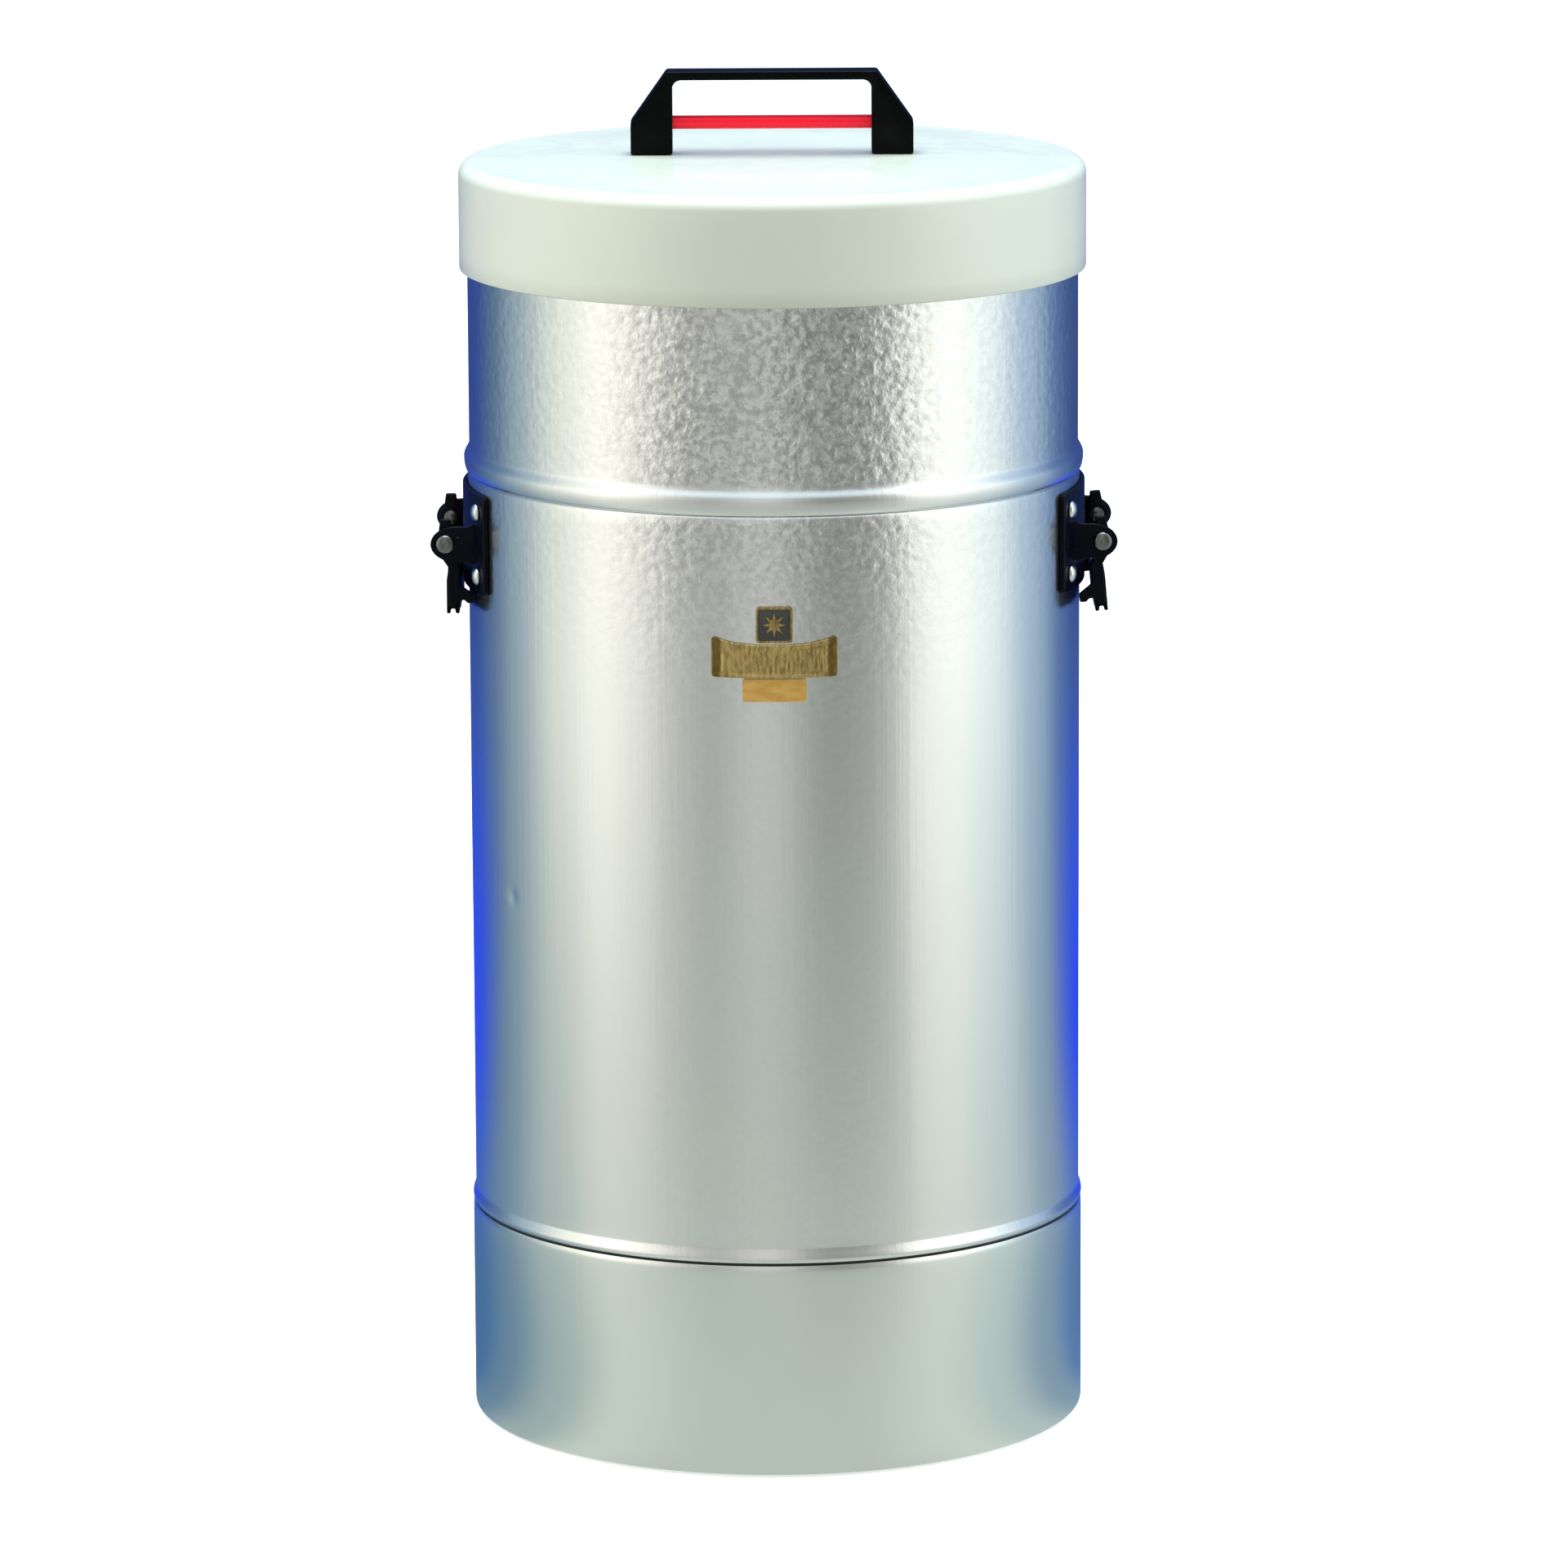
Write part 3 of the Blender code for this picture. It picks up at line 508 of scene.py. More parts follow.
def cream_moulding():
    look = Look("cream_moulding", coat_weight=0.35, coat_roughness=0.14)
    cloud = look.noise(40.0)
    colour = look.mix(look.span(cloud, 0.3, 0.7), (0.675, 0.700, 0.615), (0.700, 0.725, 0.640))
    low = look.height(LID_SKIRT_Z - 4, LID_SKIRT_Z + 22, 0.35, 0.0)
    return look.done(look.mix(low, colour, (0.640, 0.665, 0.560)),
                     look.rough(look.noise(9.0, 4.0), 0.31, 0.39),
                     look.grain(0.10, 26.0, 1.0))


def black_moulding():
    """Fine-grained black plastic, a little greyer where it has been rubbed."""
    look = Look("black_moulding", specular_ior_level=0.06)
    rubbed = look.span(look.noise(11.0, 4.0), 0.45, 0.75)
    under = look.bump(look.cells(0.75), 0.022)
    return look.done(look.mix(rubbed, (0.0006, 0.0006, 0.0008), (0.0025, 0.0025, 0.003)),
                     look.plus(look.rough(look.noise(1.1), 0.36, 0.46),
                               look.times(rubbed, -0.08)),
                     look.grain(0.008, 0.35, 2.0, under=under))


def black_lacquer():
    """Stoved lacquer on steel, with bare metal in a few scuffs."""
    look = Look("black_lacquer", specular_ior_level=0.08)
    scuff = look.times(look.span(look.noise(1.3, 5.0, rough=0.7), 0.66, 0.70),
                       look.span(look.noise(9.0), 0.52, 0.62))
    cloud = look.noise(6.0)
    paint = look.mix(cloud, (0.0012, 0.0013, 0.003), (0.003, 0.003, 0.008))
    look.set("Metallic", scuff)
    under = look.grain(0.030, 1.7, 2.0)
    return look.done(look.mix(scuff, paint, (0.42, 0.43, 0.45)),
                     look.plus(look.rough(cloud, 0.24, 0.34), look.times(scuff, 0.12)),
                     look.bump(scuff, -0.03, under))


def nickel(name, bright):
    colours = [[c * bright for c in one] for one in ((0.74, 0.73, 0.71), (0.86, 0.86, 0.85))]
    return clouded(name, colours, (1.6, 4.0), (0.9, 5.0), (0.14, 0.26),
                   (0.16, 3.0, 0.5, (1, 14, 3)), 0.003, metallic=1.0)


def silvered_glass():
    """Glass over a silver mirror, which is thinner and browner in streaks."""
    look = Look("silvered_glass", metallic=0.6, coat_weight=1.0, coat_roughness=0.02)
    streaks = look.noise(16.0, 5.0, rough=0.6, stretch=(1, 1, 6))
    worn = look.span(streaks, 0.56, 0.72, 0.0, 0.5)
    return look.done(look.mix(worn, (0.89, 0.90, 0.91), (0.74, 0.69, 0.60)),
                     look.span(streaks, 0.35, 0.7, 0.12, 0.22),
                     look.grain(0.12, 24.0, 2.0, stretch=(1, 1, 3)))


def stamped_brass(name, bright, ends=None):
    """Brass with tarnish in upright streaks and, if ends is given, painted shade beyond ends
    along X.
    """
    look = Look(name, metallic=1.0)
    streaks = look.noise(2.6, 5.0, rough=0.62, stretch=(0.5, 1, 1.7))
    tarnish = look.span(streaks, 0.42, 0.66, 0.1, 0.9)
    clean = [c * bright for c in (0.72, 0.53, 0.21)]
    old = [c * bright for c in (0.27, 0.17, 0.06)]
    colour = look.mix(tarnish, clean, old)
    if ends:
        # painted shade: the brass turns dark beyond ends, standing in for the shadow on the
        # ribbon's curled ends
        aside = look.maths("ABSOLUTE", look.axis("X"))
        dark = look.span(aside, (ends - 0.4) * MM, (ends + 0.6) * MM, 0.0, 0.72)
        colour = look.mix(dark, colour, (0.13, 0.075, 0.008))
    under = look.grain(0.012, 0.5, 2.0)
    return look.done(colour, look.rough(look.noise(1.2), 0.24, 0.40),
                     look.grain(0.004, 0.2, stretch=(30, 30, 1), under=under))


def amber_foil():
    """Printed foil, paler along worn patches and with a fine horizontal weave."""
    look = Look("amber_foil")
    patches = look.noise(5.0, 4.0, stretch=(1.6, 1, 0.7))
    colour = look.mix(look.span(patches, 0.32, 0.62), (0.60, 0.31, 0.055), (0.70, 0.41, 0.10))
    worn = look.span(look.noise(1.4, 5.0, rough=0.65), 0.60, 0.72, 0.0, 0.45)
    return look.done(look.mix(worn, colour, (0.90, 0.66, 0.34)),
                     look.rough(patches, 0.40, 0.52),
                     look.grain(0.02, 0.5, 2.0, stretch=(4, 4, 1)))


def rubber():
    look = Look("black_rubber")
    dust = look.span(look.noise(7.0, 5.0, rough=0.65), 0.50, 0.75, 0.0, 0.6)
    return look.done(look.mix(dust, (0.022, 0.022, 0.022), (0.075, 0.072, 0.068)),
                     look.span(dust, 0.0, 0.6, 0.66, 0.86),
                     look.grain(0.05, 0.7, 4.0))


def bead_foam():
    """Moulded foam: round beads pressed together, with fine pores between them."""
    look = Look("bead_foam")
    beads = look.cells(4.2)
    pores = look.span(look.noise(0.6), 0.55, 0.75)
    tone = look.mix(look.span(beads, 0.25, 0.75), (0.90, 0.90, 0.885), (0.78, 0.78, 0.755))
    under = look.bump(look.maths("SUBTRACT", 1.0, beads), 0.55)
    look.set("Sheen Weight", 0.08)
    return look.done(look.mix(look.times(pores, 0.35), tone, (0.66, 0.655, 0.62)),
                     look.span(beads, 0.2, 0.7, 0.78, 0.92),
                     look.grain(0.05, 0.8, under=under))


def felt():
    """Pressed felt: crossing fibres over soft lumps."""
    look = Look("pressed_felt", sheen_weight=0.35, sheen_roughness=0.5)
    one = look.noise(0.5, 4.0, rough=0.7, stretch=(9, 2, 1), distort=1.5)
    two = look.noise(0.5, 4.0, rough=0.7, stretch=(1, 3, 9), distort=1.5)
    lumps = look.noise(7.0)
    fibres = look.maths("MAXIMUM", one, two)
    tone = look.mix(look.span(fibres, 0.45, 0.72), (0.44, 0.42, 0.385), (0.66, 0.64, 0.60))
    return look.done(look.mix(look.span(lumps, 0.4, 0.7, 0.0, 0.4), tone, (0.50, 0.46, 0.40)),
                     look.span(fibres, 0.4, 0.7, 0.88, 0.97),
                     look.bump(fibres, 0.22, look.bump(lumps, 0.6)))


# ---- casing ----


def wave(turn, z, depth=0.2):
    """How far hand-rolled sheet lies inside its true radius."""
    place = Vector((math.cos(turn) * 1.9, math.sin(turn) * 1.9, z / 80))
    return depth * (0.5 + 0.5 * noise.noise(place))


def seam_rise(turn, radius):
    """The folded seam stands proud of the back."""
    away = abs(math.remainder(turn - math.radians(BACK), 2 * math.pi)) * radius
    return SEAM_PROUD * clamped((SEAM_HALF + 0.35 - away) / 0.35)


def rolled(turn, radius, z):
    r = radius - wave(turn, z) + seam_rise(turn, radius)
    angle, height, reach, depth = DENT
    away = math.remainder(turn - math.radians(angle), 2 * math.pi) * radius
    return r - depth * math.exp(-(away**2 + (z - height) ** 2) / (reach**2)), z


def seam_turns():
    at = math.degrees(SEAM_HALF / MAIN_R)
    rim = math.degrees((SEAM_HALF + 0.35) / MAIN_R)
    return [BACK + side * angle for side in (-1, 1) for angle in (at / 2, at, rim, rim + 0.3)]


def bead(radius, z, half, flare, crest, proud=BEAD_PROUD):
    """The outside of a rolled bead: a soft flare down to its crest, then round to its foot.

    crest is the height of the most proud ring above z, the middle of the CAD bead.
    """
    profile = [(radius + proud * eased(k / 12), z + crest + flare * (1 - k / 12))
               for k in range(13)]
    profile += arc((radius, z + crest), (proud, crest + half), -8, -80, 10)
    return profile + [(radius, z - half)]


def bead_inside(radius, z, half, proud=BEAD_PROUD):
    return arc((radius - SHEET, z), (proud, half - SHEET), -90, 90, 11)


def lap(shoulder_z, top_z, radius, next_radius, soft, drop=1.1):
    """The top of a sleeve: slipped up inside the next one, then out over a soft shoulder."""
    outside = next_radius - SHEET - LAP_PLAY
    return [(outside - SHEET, top_z), (outside, top_z), (outside, shoulder_z),
            (radius - drop, shoulder_z), (radius - 0.45 * drop, shoulder_z - 0.14 * soft),
            (radius - 0.14 * drop, shoulder_z - 0.45 * soft), (radius, shoulder_z - soft)]


def lap_inside(shoulder_z, radius, next_radius):
    outside = next_radius - SHEET - LAP_PLAY
    return [(radius - SHEET, shoulder_z - 2 * SHEET), (outside - SHEET, shoulder_z - SHEET)]


def casing():
    upper_bead = UPPER_FOOT_Z + UPPER_BEAD_HALF
    profile = [(UPPER_R, SLEEVE_TOP_Z)]
    profile += bead(UPPER_R, upper_bead, UPPER_BEAD_HALF, UPPER_FLARE, UPPER_CREST)
    profile += [(UPPER_R - SHEET, UPPER_FOOT_Z)]
    profile += bead_inside(UPPER_R, upper_bead, UPPER_BEAD_HALF)
    profile += [(UPPER_R - SHEET, SLEEVE_TOP_Z)]
    turns = around(SHELL_STEPS, *seam_turns())
    bm = turned(split(profile, WALL_STEP), turns, shape=rolled)
    piece("upper_sleeve", bm, "mottled", ["casing_upper"])

    lower_bead = MAIN_FOOT_Z + LOWER_BEAD_HALF
    shoulder = UPPER_FOOT_Z - 0.05
    profile = lap(shoulder, MAIN_TOP_Z, MAIN_R, UPPER_R, 1.8)
    profile += [(MAIN_R, DENT[1] + k * 1.4) for k in range(5, -6, -1)]
    profile += bead(MAIN_R, lower_bead, LOWER_BEAD_HALF, LOWER_FLARE, LOWER_CREST,
                    LOWER_PROUD)
    profile += [(MAIN_R - SHEET, MAIN_FOOT_Z)]
    profile += bead_inside(MAIN_R, MAIN_FOOT_Z + 2.8, 3.5, 0.8)
    profile += lap_inside(shoulder, MAIN_R, UPPER_R)
    turns = around(SHELL_STEPS, *seam_turns(), *[DENT[0] + 0.5 * k for k in range(-6, 7)])
    bm = turned(split(profile, WALL_STEP), turns, shape=rolled)
    piece("main_sleeve", bm, "mottled", ["casing_main"])

    shoulder = MAIN_FOOT_Z - BASE_GAP
    top, roof = BASE_FOOT_Z + SHEET, BASE_FOOT_Z + GROOVE_DEPTH
    corner = (BASE_R - BASE_CORNER_R, BASE_FOOT_Z + BASE_CORNER_R)
    profile = [(0, BASE_FOOT_Z), (GROOVE_IN_R - SHEET, BASE_FOOT_Z), (GROOVE_IN_R, roof)]
    profile += [(GROOVE_OUT_R, roof), (GROOVE_OUT_R + SHEET, BASE_FOOT_Z)]
    profile += arc(corner, BASE_CORNER_R, -90, 0, 9)
    profile += lap(shoulder, BASE_TOP_Z, BASE_R, MAIN_R, 6.5, 0.5)[::-1]
    profile += lap_inside(shoulder, BASE_R, MAIN_R)[::-1]
    profile += arc(corner, BASE_CORNER_R - SHEET, 0, -90, 7)
    profile += [(GROOVE_OUT_R + 2 * SHEET, top), (GROOVE_OUT_R + SHEET, roof + SHEET)]
    profile += [(GROOVE_IN_R - SHEET, roof + SHEET), (GROOVE_IN_R - 2 * SHEET, top), (0, top)]
    bm = solid(profile, WALL_STEP, SHELL_STEPS,
               lambda turn, r, z: (r - wave(turn, z, 0.12 * r / BASE_R), z))
    piece("drawn_base", bm, "smooth", ["base_cup"])

    # a black ring set in the base gap: painted shade standing in for the joint's shadow
    inner, outer = MAIN_R - SHEET - LAP_PLAY + 0.03, MAIN_R - 0.55
    profile = [(inner, MAIN_FOOT_Z - 0.03), (inner, shoulder + 0.03), (outer, shoulder + 0.03)]
    profile += [(outer + 0.08, shoulder + 0.5), (outer, MAIN_FOOT_Z - 0.03)]
    bm = turned(profile, SHELL_STEPS, shape=lambda turn, r, z: (r - wave(turn, z), z))
    piece("gap_shade_ring", bm, "rubber")

    low, high = extent("foot_ring")
    inner, outer = GROOVE_IN_R + 2 * GAP, high.x
    ribs = [(inner + (outer - inner) * k / 24, low.z + (0.0 if k % 4 in (1, 2, 3) else 0.9))
            for k in range(2, 23)]
    profile = [(inner, high.z), (inner, low.z + 1.0)] + ribs
    profile += [(outer, low.z + 1.0), (outer, high.z)]
    piece("ribbed_foot", turned(profile, 128), "rubber", ["foot_ring"])


def neck():
    under = SLEEVE_TOP_Z + GAP
    lip_in, lip_out = OUTER_R + 0.8, OUTER_R + 3.0
    skirt_out = UPPER_R - SHEET - LAP_PLAY
    skirt_in, skirt_foot = skirt_out - 2, under - 18
    corners = [(NECK_MOUTH_R, under, 0.4), (lip_in, under, 0.4), (lip_in, RIM_SEAM_Z - 5, 0.6)]
    corners += [(lip_out, RIM_SEAM_Z - 5, 0.6), (lip_out, under, 0.8), (skirt_in, under, 0.8)]
    corners += [(skirt_in, skirt_foot, 0.6), (skirt_out, skirt_foot, 0.6)]
    corners += [(skirt_out, under, 0.3), (UPPER_R, under, 0.4), (UPPER_R, NECK_TOP_Z, 1.6)]
    corners += [(NECK_MOUTH_R, NECK_TOP_Z, 1.8)]
    bm = turned(split(rounded(corners), 8), 200)
    piece("neck_collar", bm, "white", ["neck_ring"])
    low, high = extent("rim_gasket")
    inner = NECK_MOUTH_R + 1
    bm = turned(rectangle(inner, high.x, low.z, high.z, 0.5, 4), 160)
    piece("rim_seal", bm, "silicone", ["rim_gasket"])


# ---- glass and packing ----


def dome(radius, bottom_z, depth, count=28):
    return arc((0, bottom_z + depth), (radius, depth), -90, 0, count)


def flask():
    profile = [(0, INNER_BOTTOM_Z)] + dome(INNER_R + GLASS, INNER_BOTTOM_Z, DOME_DEPTH)[1:]
    profile += arc((RIM_CENTRE_R, RIM_SEAM_Z), RIM_BEND - GLASS, 180, 0, 13)
    profile += arc((RIM_CENTRE_R, RIM_SEAM_Z), RIM_BEND, 0, 180, 21)
    inside = dome(INNER_R, INNER_BOTTOM_Z + GLASS, DOME_DEPTH - GLASS)[::-1]
    profile += inside[:-1] + [(0, INNER_BOTTOM_Z + GLASS)]
    bm = solid(profile, 24, FLASK_STEPS)
    piece("inner_flask", bm, "glass", ["glass_inner"])

    seam, tip_z = RIM_SEAM_Z - GAP, extent("glass_outer")[0].z
    tip = [(0, tip_z), (TIP_R * 0.3, tip_z + 0.3), (TIP_R * 0.55, tip_z + 1.4),
           (TIP_R * 0.68, tip_z + 4), (TIP_R * 0.9, tip_z + TIP_LENGTH - 2.6),
           (TIP_R * 1.8, OUTER_BOTTOM_Z + 0.2)]
    outside = [p for p in dome(OUTER_R, OUTER_BOTTOM_Z, DOME_DEPTH) if p[0] > TIP_R * 2]
    inside = dome(OUTER_R - GLASS, OUTER_BOTTOM_Z + GLASS, DOME_DEPTH - GLASS)[::-1]
    profile = tip + outside + [(OUTER_R, seam), (OUTER_R - GLASS, seam)]
    profile += inside[:-1] + [(0, OUTER_BOTTOM_Z + GLASS)]
    bm = solid(profile, 24, FLASK_STEPS)
    piece("outer_flask", bm, "glass", ["glass_outer"])


def lumpy(depth, size, radial=True):
    """A shape for turned() that pulls points in by up to depth, over lumps of this size."""
    def shape(turn, radius, z):
        place = Vector((radius * math.cos(turn), radius * math.sin(turn), z)) / size
        pull = depth * (0.5 + 0.5 * noise.noise(place))
        return (radius - pull, z) if radial else (radius, z - pull)
    return shape


def packing():
    low, high = extent("glass_support")
    clear, hole = 0.5, 40.0
    seat = dome(OUTER_R + clear, OUTER_BOTTOM_Z - clear, DOME_DEPTH + clear)
    seat = [p for p in seat if p[0] > hole + 2]
    profile = rounded([(hole, low.z, 2.0), (high.x, low.z, 2.0), (high.x, high.z, 2.5)],
                      closed=False)
    profile = [(hole, low.z)] + profile[1:] + [(high.x - 2.5, high.z)]
    profile += [(OUTER_R + clear + 0.6, high.z), (OUTER_R + clear, high.z - 0.8)] + seat[::-1]
    profile += [(hole + 1.5, seat[0][1] - 0.4), (hole, seat[0][1] - 2.0)]
    bm = turned(split(profile, 6), 128, shape=lumpy(0.35, 18, radial=False))
    for v in bm.verts:  # the shape only settles downwards, and the foot stays on its floor
        v.co.z = max(v.co.z, low.z)
    piece("support_foam", bm, "foam", ["glass_support"])

    for name in ("packing_ring_lower", "packing_ring_upper"):
        low, high = extent(name)
        middle = (low.z + high.z) / 2
        inner, outer = OUTER_R + 0.4, high.x
        corners = [(inner, low.z, 2.5), (outer - 1.2, low.z, 3.5), (outer, middle, 14.0),
                   (outer - 1.2, high.z, 3.5), (inner, high.z, 2.5)]
        bm = turned(split(rounded(corners), 3), 144, shape=lumpy(0.9, 16, radial=False))
        for v in bm.verts:
            v.co.z = max(v.co.z, low.z)
        piece(name.replace("packing_ring", "felt_ring"), bm, "felt", [name])

    for number in (1, 2, 3):
        inner, outer = INNER_R + GLASS + 0.4, OUTER_R - GLASS - 0.8
        low, high = extent(f"vacuum_spacer_{number}")
        middle, half = (low.z + high.z) / 2, (high.z - low.z) / 2
        outline = rectangle(-11, 11, middle - half, middle + half, 3.0)
        bm = soften(prism(outline, 0, outer - inner, "X"), 1.4, 4)
        slices(bm, 2, steps(middle - half, middle + half, 2.0))
        slices(bm, 1, steps(-11, 11, 2.0))
        for v in bm.verts:  # plump in the middle and thinner towards the edge
            near = max(abs(v.co.y) / 11, abs(v.co.z - middle) / half)
            full = 1 - 0.3 * max(0.0, near) ** 3
            v.co.x = (v.co.x - (outer - inner) / 2) * full + (outer - inner) / 2
        bm = bent(bm, inner, 11, 2.0)
        piece(f"spacer_pad_{number}", bm, "felt", [f"vacuum_spacer_{number}"],
              spin(90 + 120 * number))


# ---- lid ----


def crown(radius):
    """Height of the lid's top at a radius: flat in the middle, then falling smoothly."""
    share = clamped((radius - LID_FLAT_R) / (LID_R - LID_EDGE_R - LID_FLAT_R))
    return LID_CROWN_Z - LID_CROWN * eased(share)


def lid():
    inside, roof = LID_R - LID_WALL, LID_EDGE_Z - LID_ROOF
    corner = (LID_R - LID_EDGE_R, LID_EDGE_Z - LID_EDGE_R)
    profile = [(0, LID_CROWN_Z)] + [(r, crown(r)) for r in range(15, 136, 5)]
    profile += arc(corner, LID_EDGE_R, 90, 0, 17)
    profile += [(LID_R, LID_SKIRT_Z + 1.0), (LID_R - 0.3, LID_SKIRT_Z + 0.3),
                (LID_R - 1.0, LID_SKIRT_Z), (inside + 0.5, LID_SKIRT_Z),
                (inside, LID_SKIRT_Z + 0.5), (inside, roof - 2.5)]
    profile += arc((inside - 2.5, roof - 2.5), 2.5, 0, 90, 7) + [(0, roof)]
    bm = solid(profile, 8, SHELL_STEPS)
    piece("lid_cap", bm, "cream", ["lid_shell"], body="lid")

    corners = [(0, FOAM_FOOT_Z, 0), (PLUG_R - PLUG_TAPER, FOAM_FOOT_Z, 6.0),
               (PLUG_R, DISC_Z, 1.5), (FOAM_R, DISC_Z, 2.0), (FOAM_R, FOAM_TOP_Z, 4.0),
               (0, FOAM_TOP_Z, 0)]
    bm = solid(rounded(corners, False), 5, 180,
               lambda turn, r, z: (r - (0.4 * r / PLUG_R) * wave(turn, z * 4, 1.0), z))
    recess = prism(rectangle(-69.0, 69.0, -13.0, 13.0, 3), FOAM_TOP_Z - 8, FOAM_TOP_Z + 5)
    bm = boolean(bm, recess, "DIFFERENCE")
    piece("lid_foam", bm, "foam", ["lid_insulation"], body="lid")

    low, high = extent("lid_gasket")
    inner = 119.0

    def notched(turn, radius, z):
        """Four notches underneath let cold gas leave."""
        away = math.remainder(math.degrees(turn) - 45, 90) * math.radians(1) * radius
        lift = 2.0 * clamped((8.0 - abs(away)) / 2)
        return radius, max(z, low.z + lift)

    bm = turned(rectangle(inner, high.x, low.z, high.z, 0.9, 4), 360, shape=notched)
    piece("lid_seal", bm, "silicone", ["lid_gasket"], body="lid")


def bow_handle():
    under, foot = BOW_HEIGHT - BOW_BAR, 0.8
    right = [(BOW_OPENING_HALF, 0, foot), (BOW_HALF, 0, foot), (BOW_HALF, BOW_SHOULDER_Z, 3.0),
             (BOW_TOP_HALF, BOW_HEIGHT, 2.0)]
    left = [(-x, z, r) for x, z, r in right[::-1]]
    corners = right + left + [(-BOW_OPENING_HALF, under, 4.0), (BOW_OPENING_HALF, under, 4.0)]
    outline = [(x, z + BOW_FOOT_Z) for x, z in rounded(corners)]
    bm = soften(prism(outline, -BOW_DEPTH / 2, BOW_DEPTH / 2, "Y"), 1.3, 4, 60)
    piece("bow_handle", bm, "black", ["lid_handle"], body="lid")

    low, high = extent("handle_crossbar")
    radius, at = (high.z - low.z) / 2, (low.z + high.z) / 2
    half = high.x
    profile = [(0, -half), (radius - 0.6, -half), (radius, -half + 0.6)]
    profile += [(radius, -half + 5.2), (radius, half - 5.2)]
    profile += [(radius, half - 0.6), (radius - 0.6, half), (0, half)]
    bm = solid(profile, 6, 40)
    turn = Matrix.Translation((0, 0, at)) @ spin(90, "Y")
    piece("red_crossbar", bm, "red", ["handle_crossbar"], turn, "lid")


# ---- side handles ----


def plate_with_ears():
    half = PLATE_OUT_R * math.asin(PLATE_HALF / PLATE_OUT_R)
    low, high = PLATE_Z
    bm = soften(prism(rectangle(-half, half, low, high, 3.0), 0, PLATE_THICK, "X"), 0.5, 3)
    bm = bent(bm, PLATE_IN_R, half)
    root = math.sqrt(PLATE_OUT_R**2 - (EAR_Y + EAR_THICK) ** 2) - 1.4
    x, z = EAR_CENTRE
    for end in (-1, 1):
        half_ear = EAR_REACH[1]
        outline = [(root, z - half_ear - 2), (x - 5, z - half_ear)]
        outline += arc(EAR_CENTRE, EAR_REACH, -90, 90, 25)
        outline += [(x - 5, z + half_ear), (root, z + half_ear + 2)]
        face = end * EAR_Y - EAR_THICK / 2
        ear = soften(prism(outline, face, face + EAR_THICK, "Y"), 0.6, 3, 50)
        bm = boolean(bm, ear, "UNION")
    return bm


def arm_outline():
    heel, neck = ARM_HALF - 0.4, ARM_EYE_R * 0.83
    inner, outer, toe = ARM_X - ARM_HALF, ARM_X + ARM_HALF, CORE_Z - 6.4
    outline = arc((0, 0), ARM_EYE_R, -45, 55, 13)
    outline += rounded([(ARM_EYE_R * 0.55, neck, 0), (heel, ARM_HEEL, 1.0),
                        (-heel, ARM_HEEL, 1.0), (-ARM_EYE_R * 0.55, neck, 0)], False)[1:-1]
    outline += arc((0, 0), ARM_EYE_R, 125, 230, 13)
    outline += rounded([(inner, -11, 0), (inner, -19.5, 3.0), (FOOT_X, FOOT_Z + 4, 1.5),
                        (FOOT_X, FOOT_Z, 1.0), (FOOT_X + 3, FOOT_Z, 1.2),
                        (FOOT_X + 4.4, FOOT_Z + 1.4, 1.2), (outer - 4, FOOT_Z + 1.4, 1.2),
                        (outer - 2.6, toe, 0.8), (outer, toe, 1.2), (outer, -11, 0)], False)
    return outline


def bail_mesh():
    bm = prism(arc((CORE_X, CORE_Z), CORE_R, 0, 345, 24), -ARM_Y - 0.4, ARM_Y + 0.4, "Y")
    for end in (-1, 1):
        face = end * ARM_Y - ARM_THICK / 2
        arm = soften(prism(arm_outline(), face, face + ARM_THICK, "Y"), 0.7, 3, 50)
        bm = boolean(bm, arm, "UNION")
    return bm


def grip_mesh():
    """A moulded grip: oval, open along its lower edge, with shallow finger hollows."""
    half, top, low = 3.2, CORE_Z + 5.0, CORE_Z - 7.0
    outline = arc((CORE_X, top), (half, 3.0), 0, 180, 15)
    outline += rounded([(CORE_X - half, low - 3, 1.2), (CORE_X - 1.4, low - 3, 0.5),
                        (CORE_X - 0.9, low - 0.9, 0.4), (CORE_X + 0.9, low - 0.9, 0.4),
                        (CORE_X + 1.4, low - 3, 0.5), (CORE_X + half, low - 3, 1.2)],
                       False, 4)
    bm = soften(prism(outline, -GRIP_HALF, GRIP_HALF, "Y"), 0.8, 3, 60)
    slices(bm, 1, steps(-GRIP_HALF + 1, GRIP_HALF - 1, 1.8))
    for v in bm.verts:
        share = v.co.y / GRIP_HALF
        v.co.x = CORE_X + (v.co.x - CORE_X) * (1 - 0.10 * share * share)
        deep = clamped((CORE_Z - v.co.z) / 9)
        hollow = 0.5 - 0.5 * math.cos(math.pi * 4 * (share + 1))
        v.co.z += 0.8 * deep * hollow * (1 - share**6)
    return bm


def rivet_mesh(y, z, end_r):
    """A domed rivet head that points straight out from the casing."""
    profile = [(0, end_r - 3.0), (2.0, end_r - 3.0), (2.0, end_r + 0.02)]
    profile += [(RIVET_HEAD_R - 0.15, end_r), (RIVET_HEAD_R, end_r + 0.25)]
    profile += arc((0, end_r + 0.2), (RIVET_HEAD_R - 0.08, RIVET_HEAD - 0.2), 0, 90, 10)[1:-1]
    profile += [(0, end_r + RIVET_HEAD)]
    bm = turned(profile, 32, closed=False)
    turn = math.asin(y / PLATE_OUT_R)
    matrix = Matrix.Translation((0, 0, z)) @ Matrix.Rotation(turn, 4, "Z")
    bmesh.ops.transform(bm, matrix=matrix @ spin(90, "Y"), verts=bm.verts)
    return bm


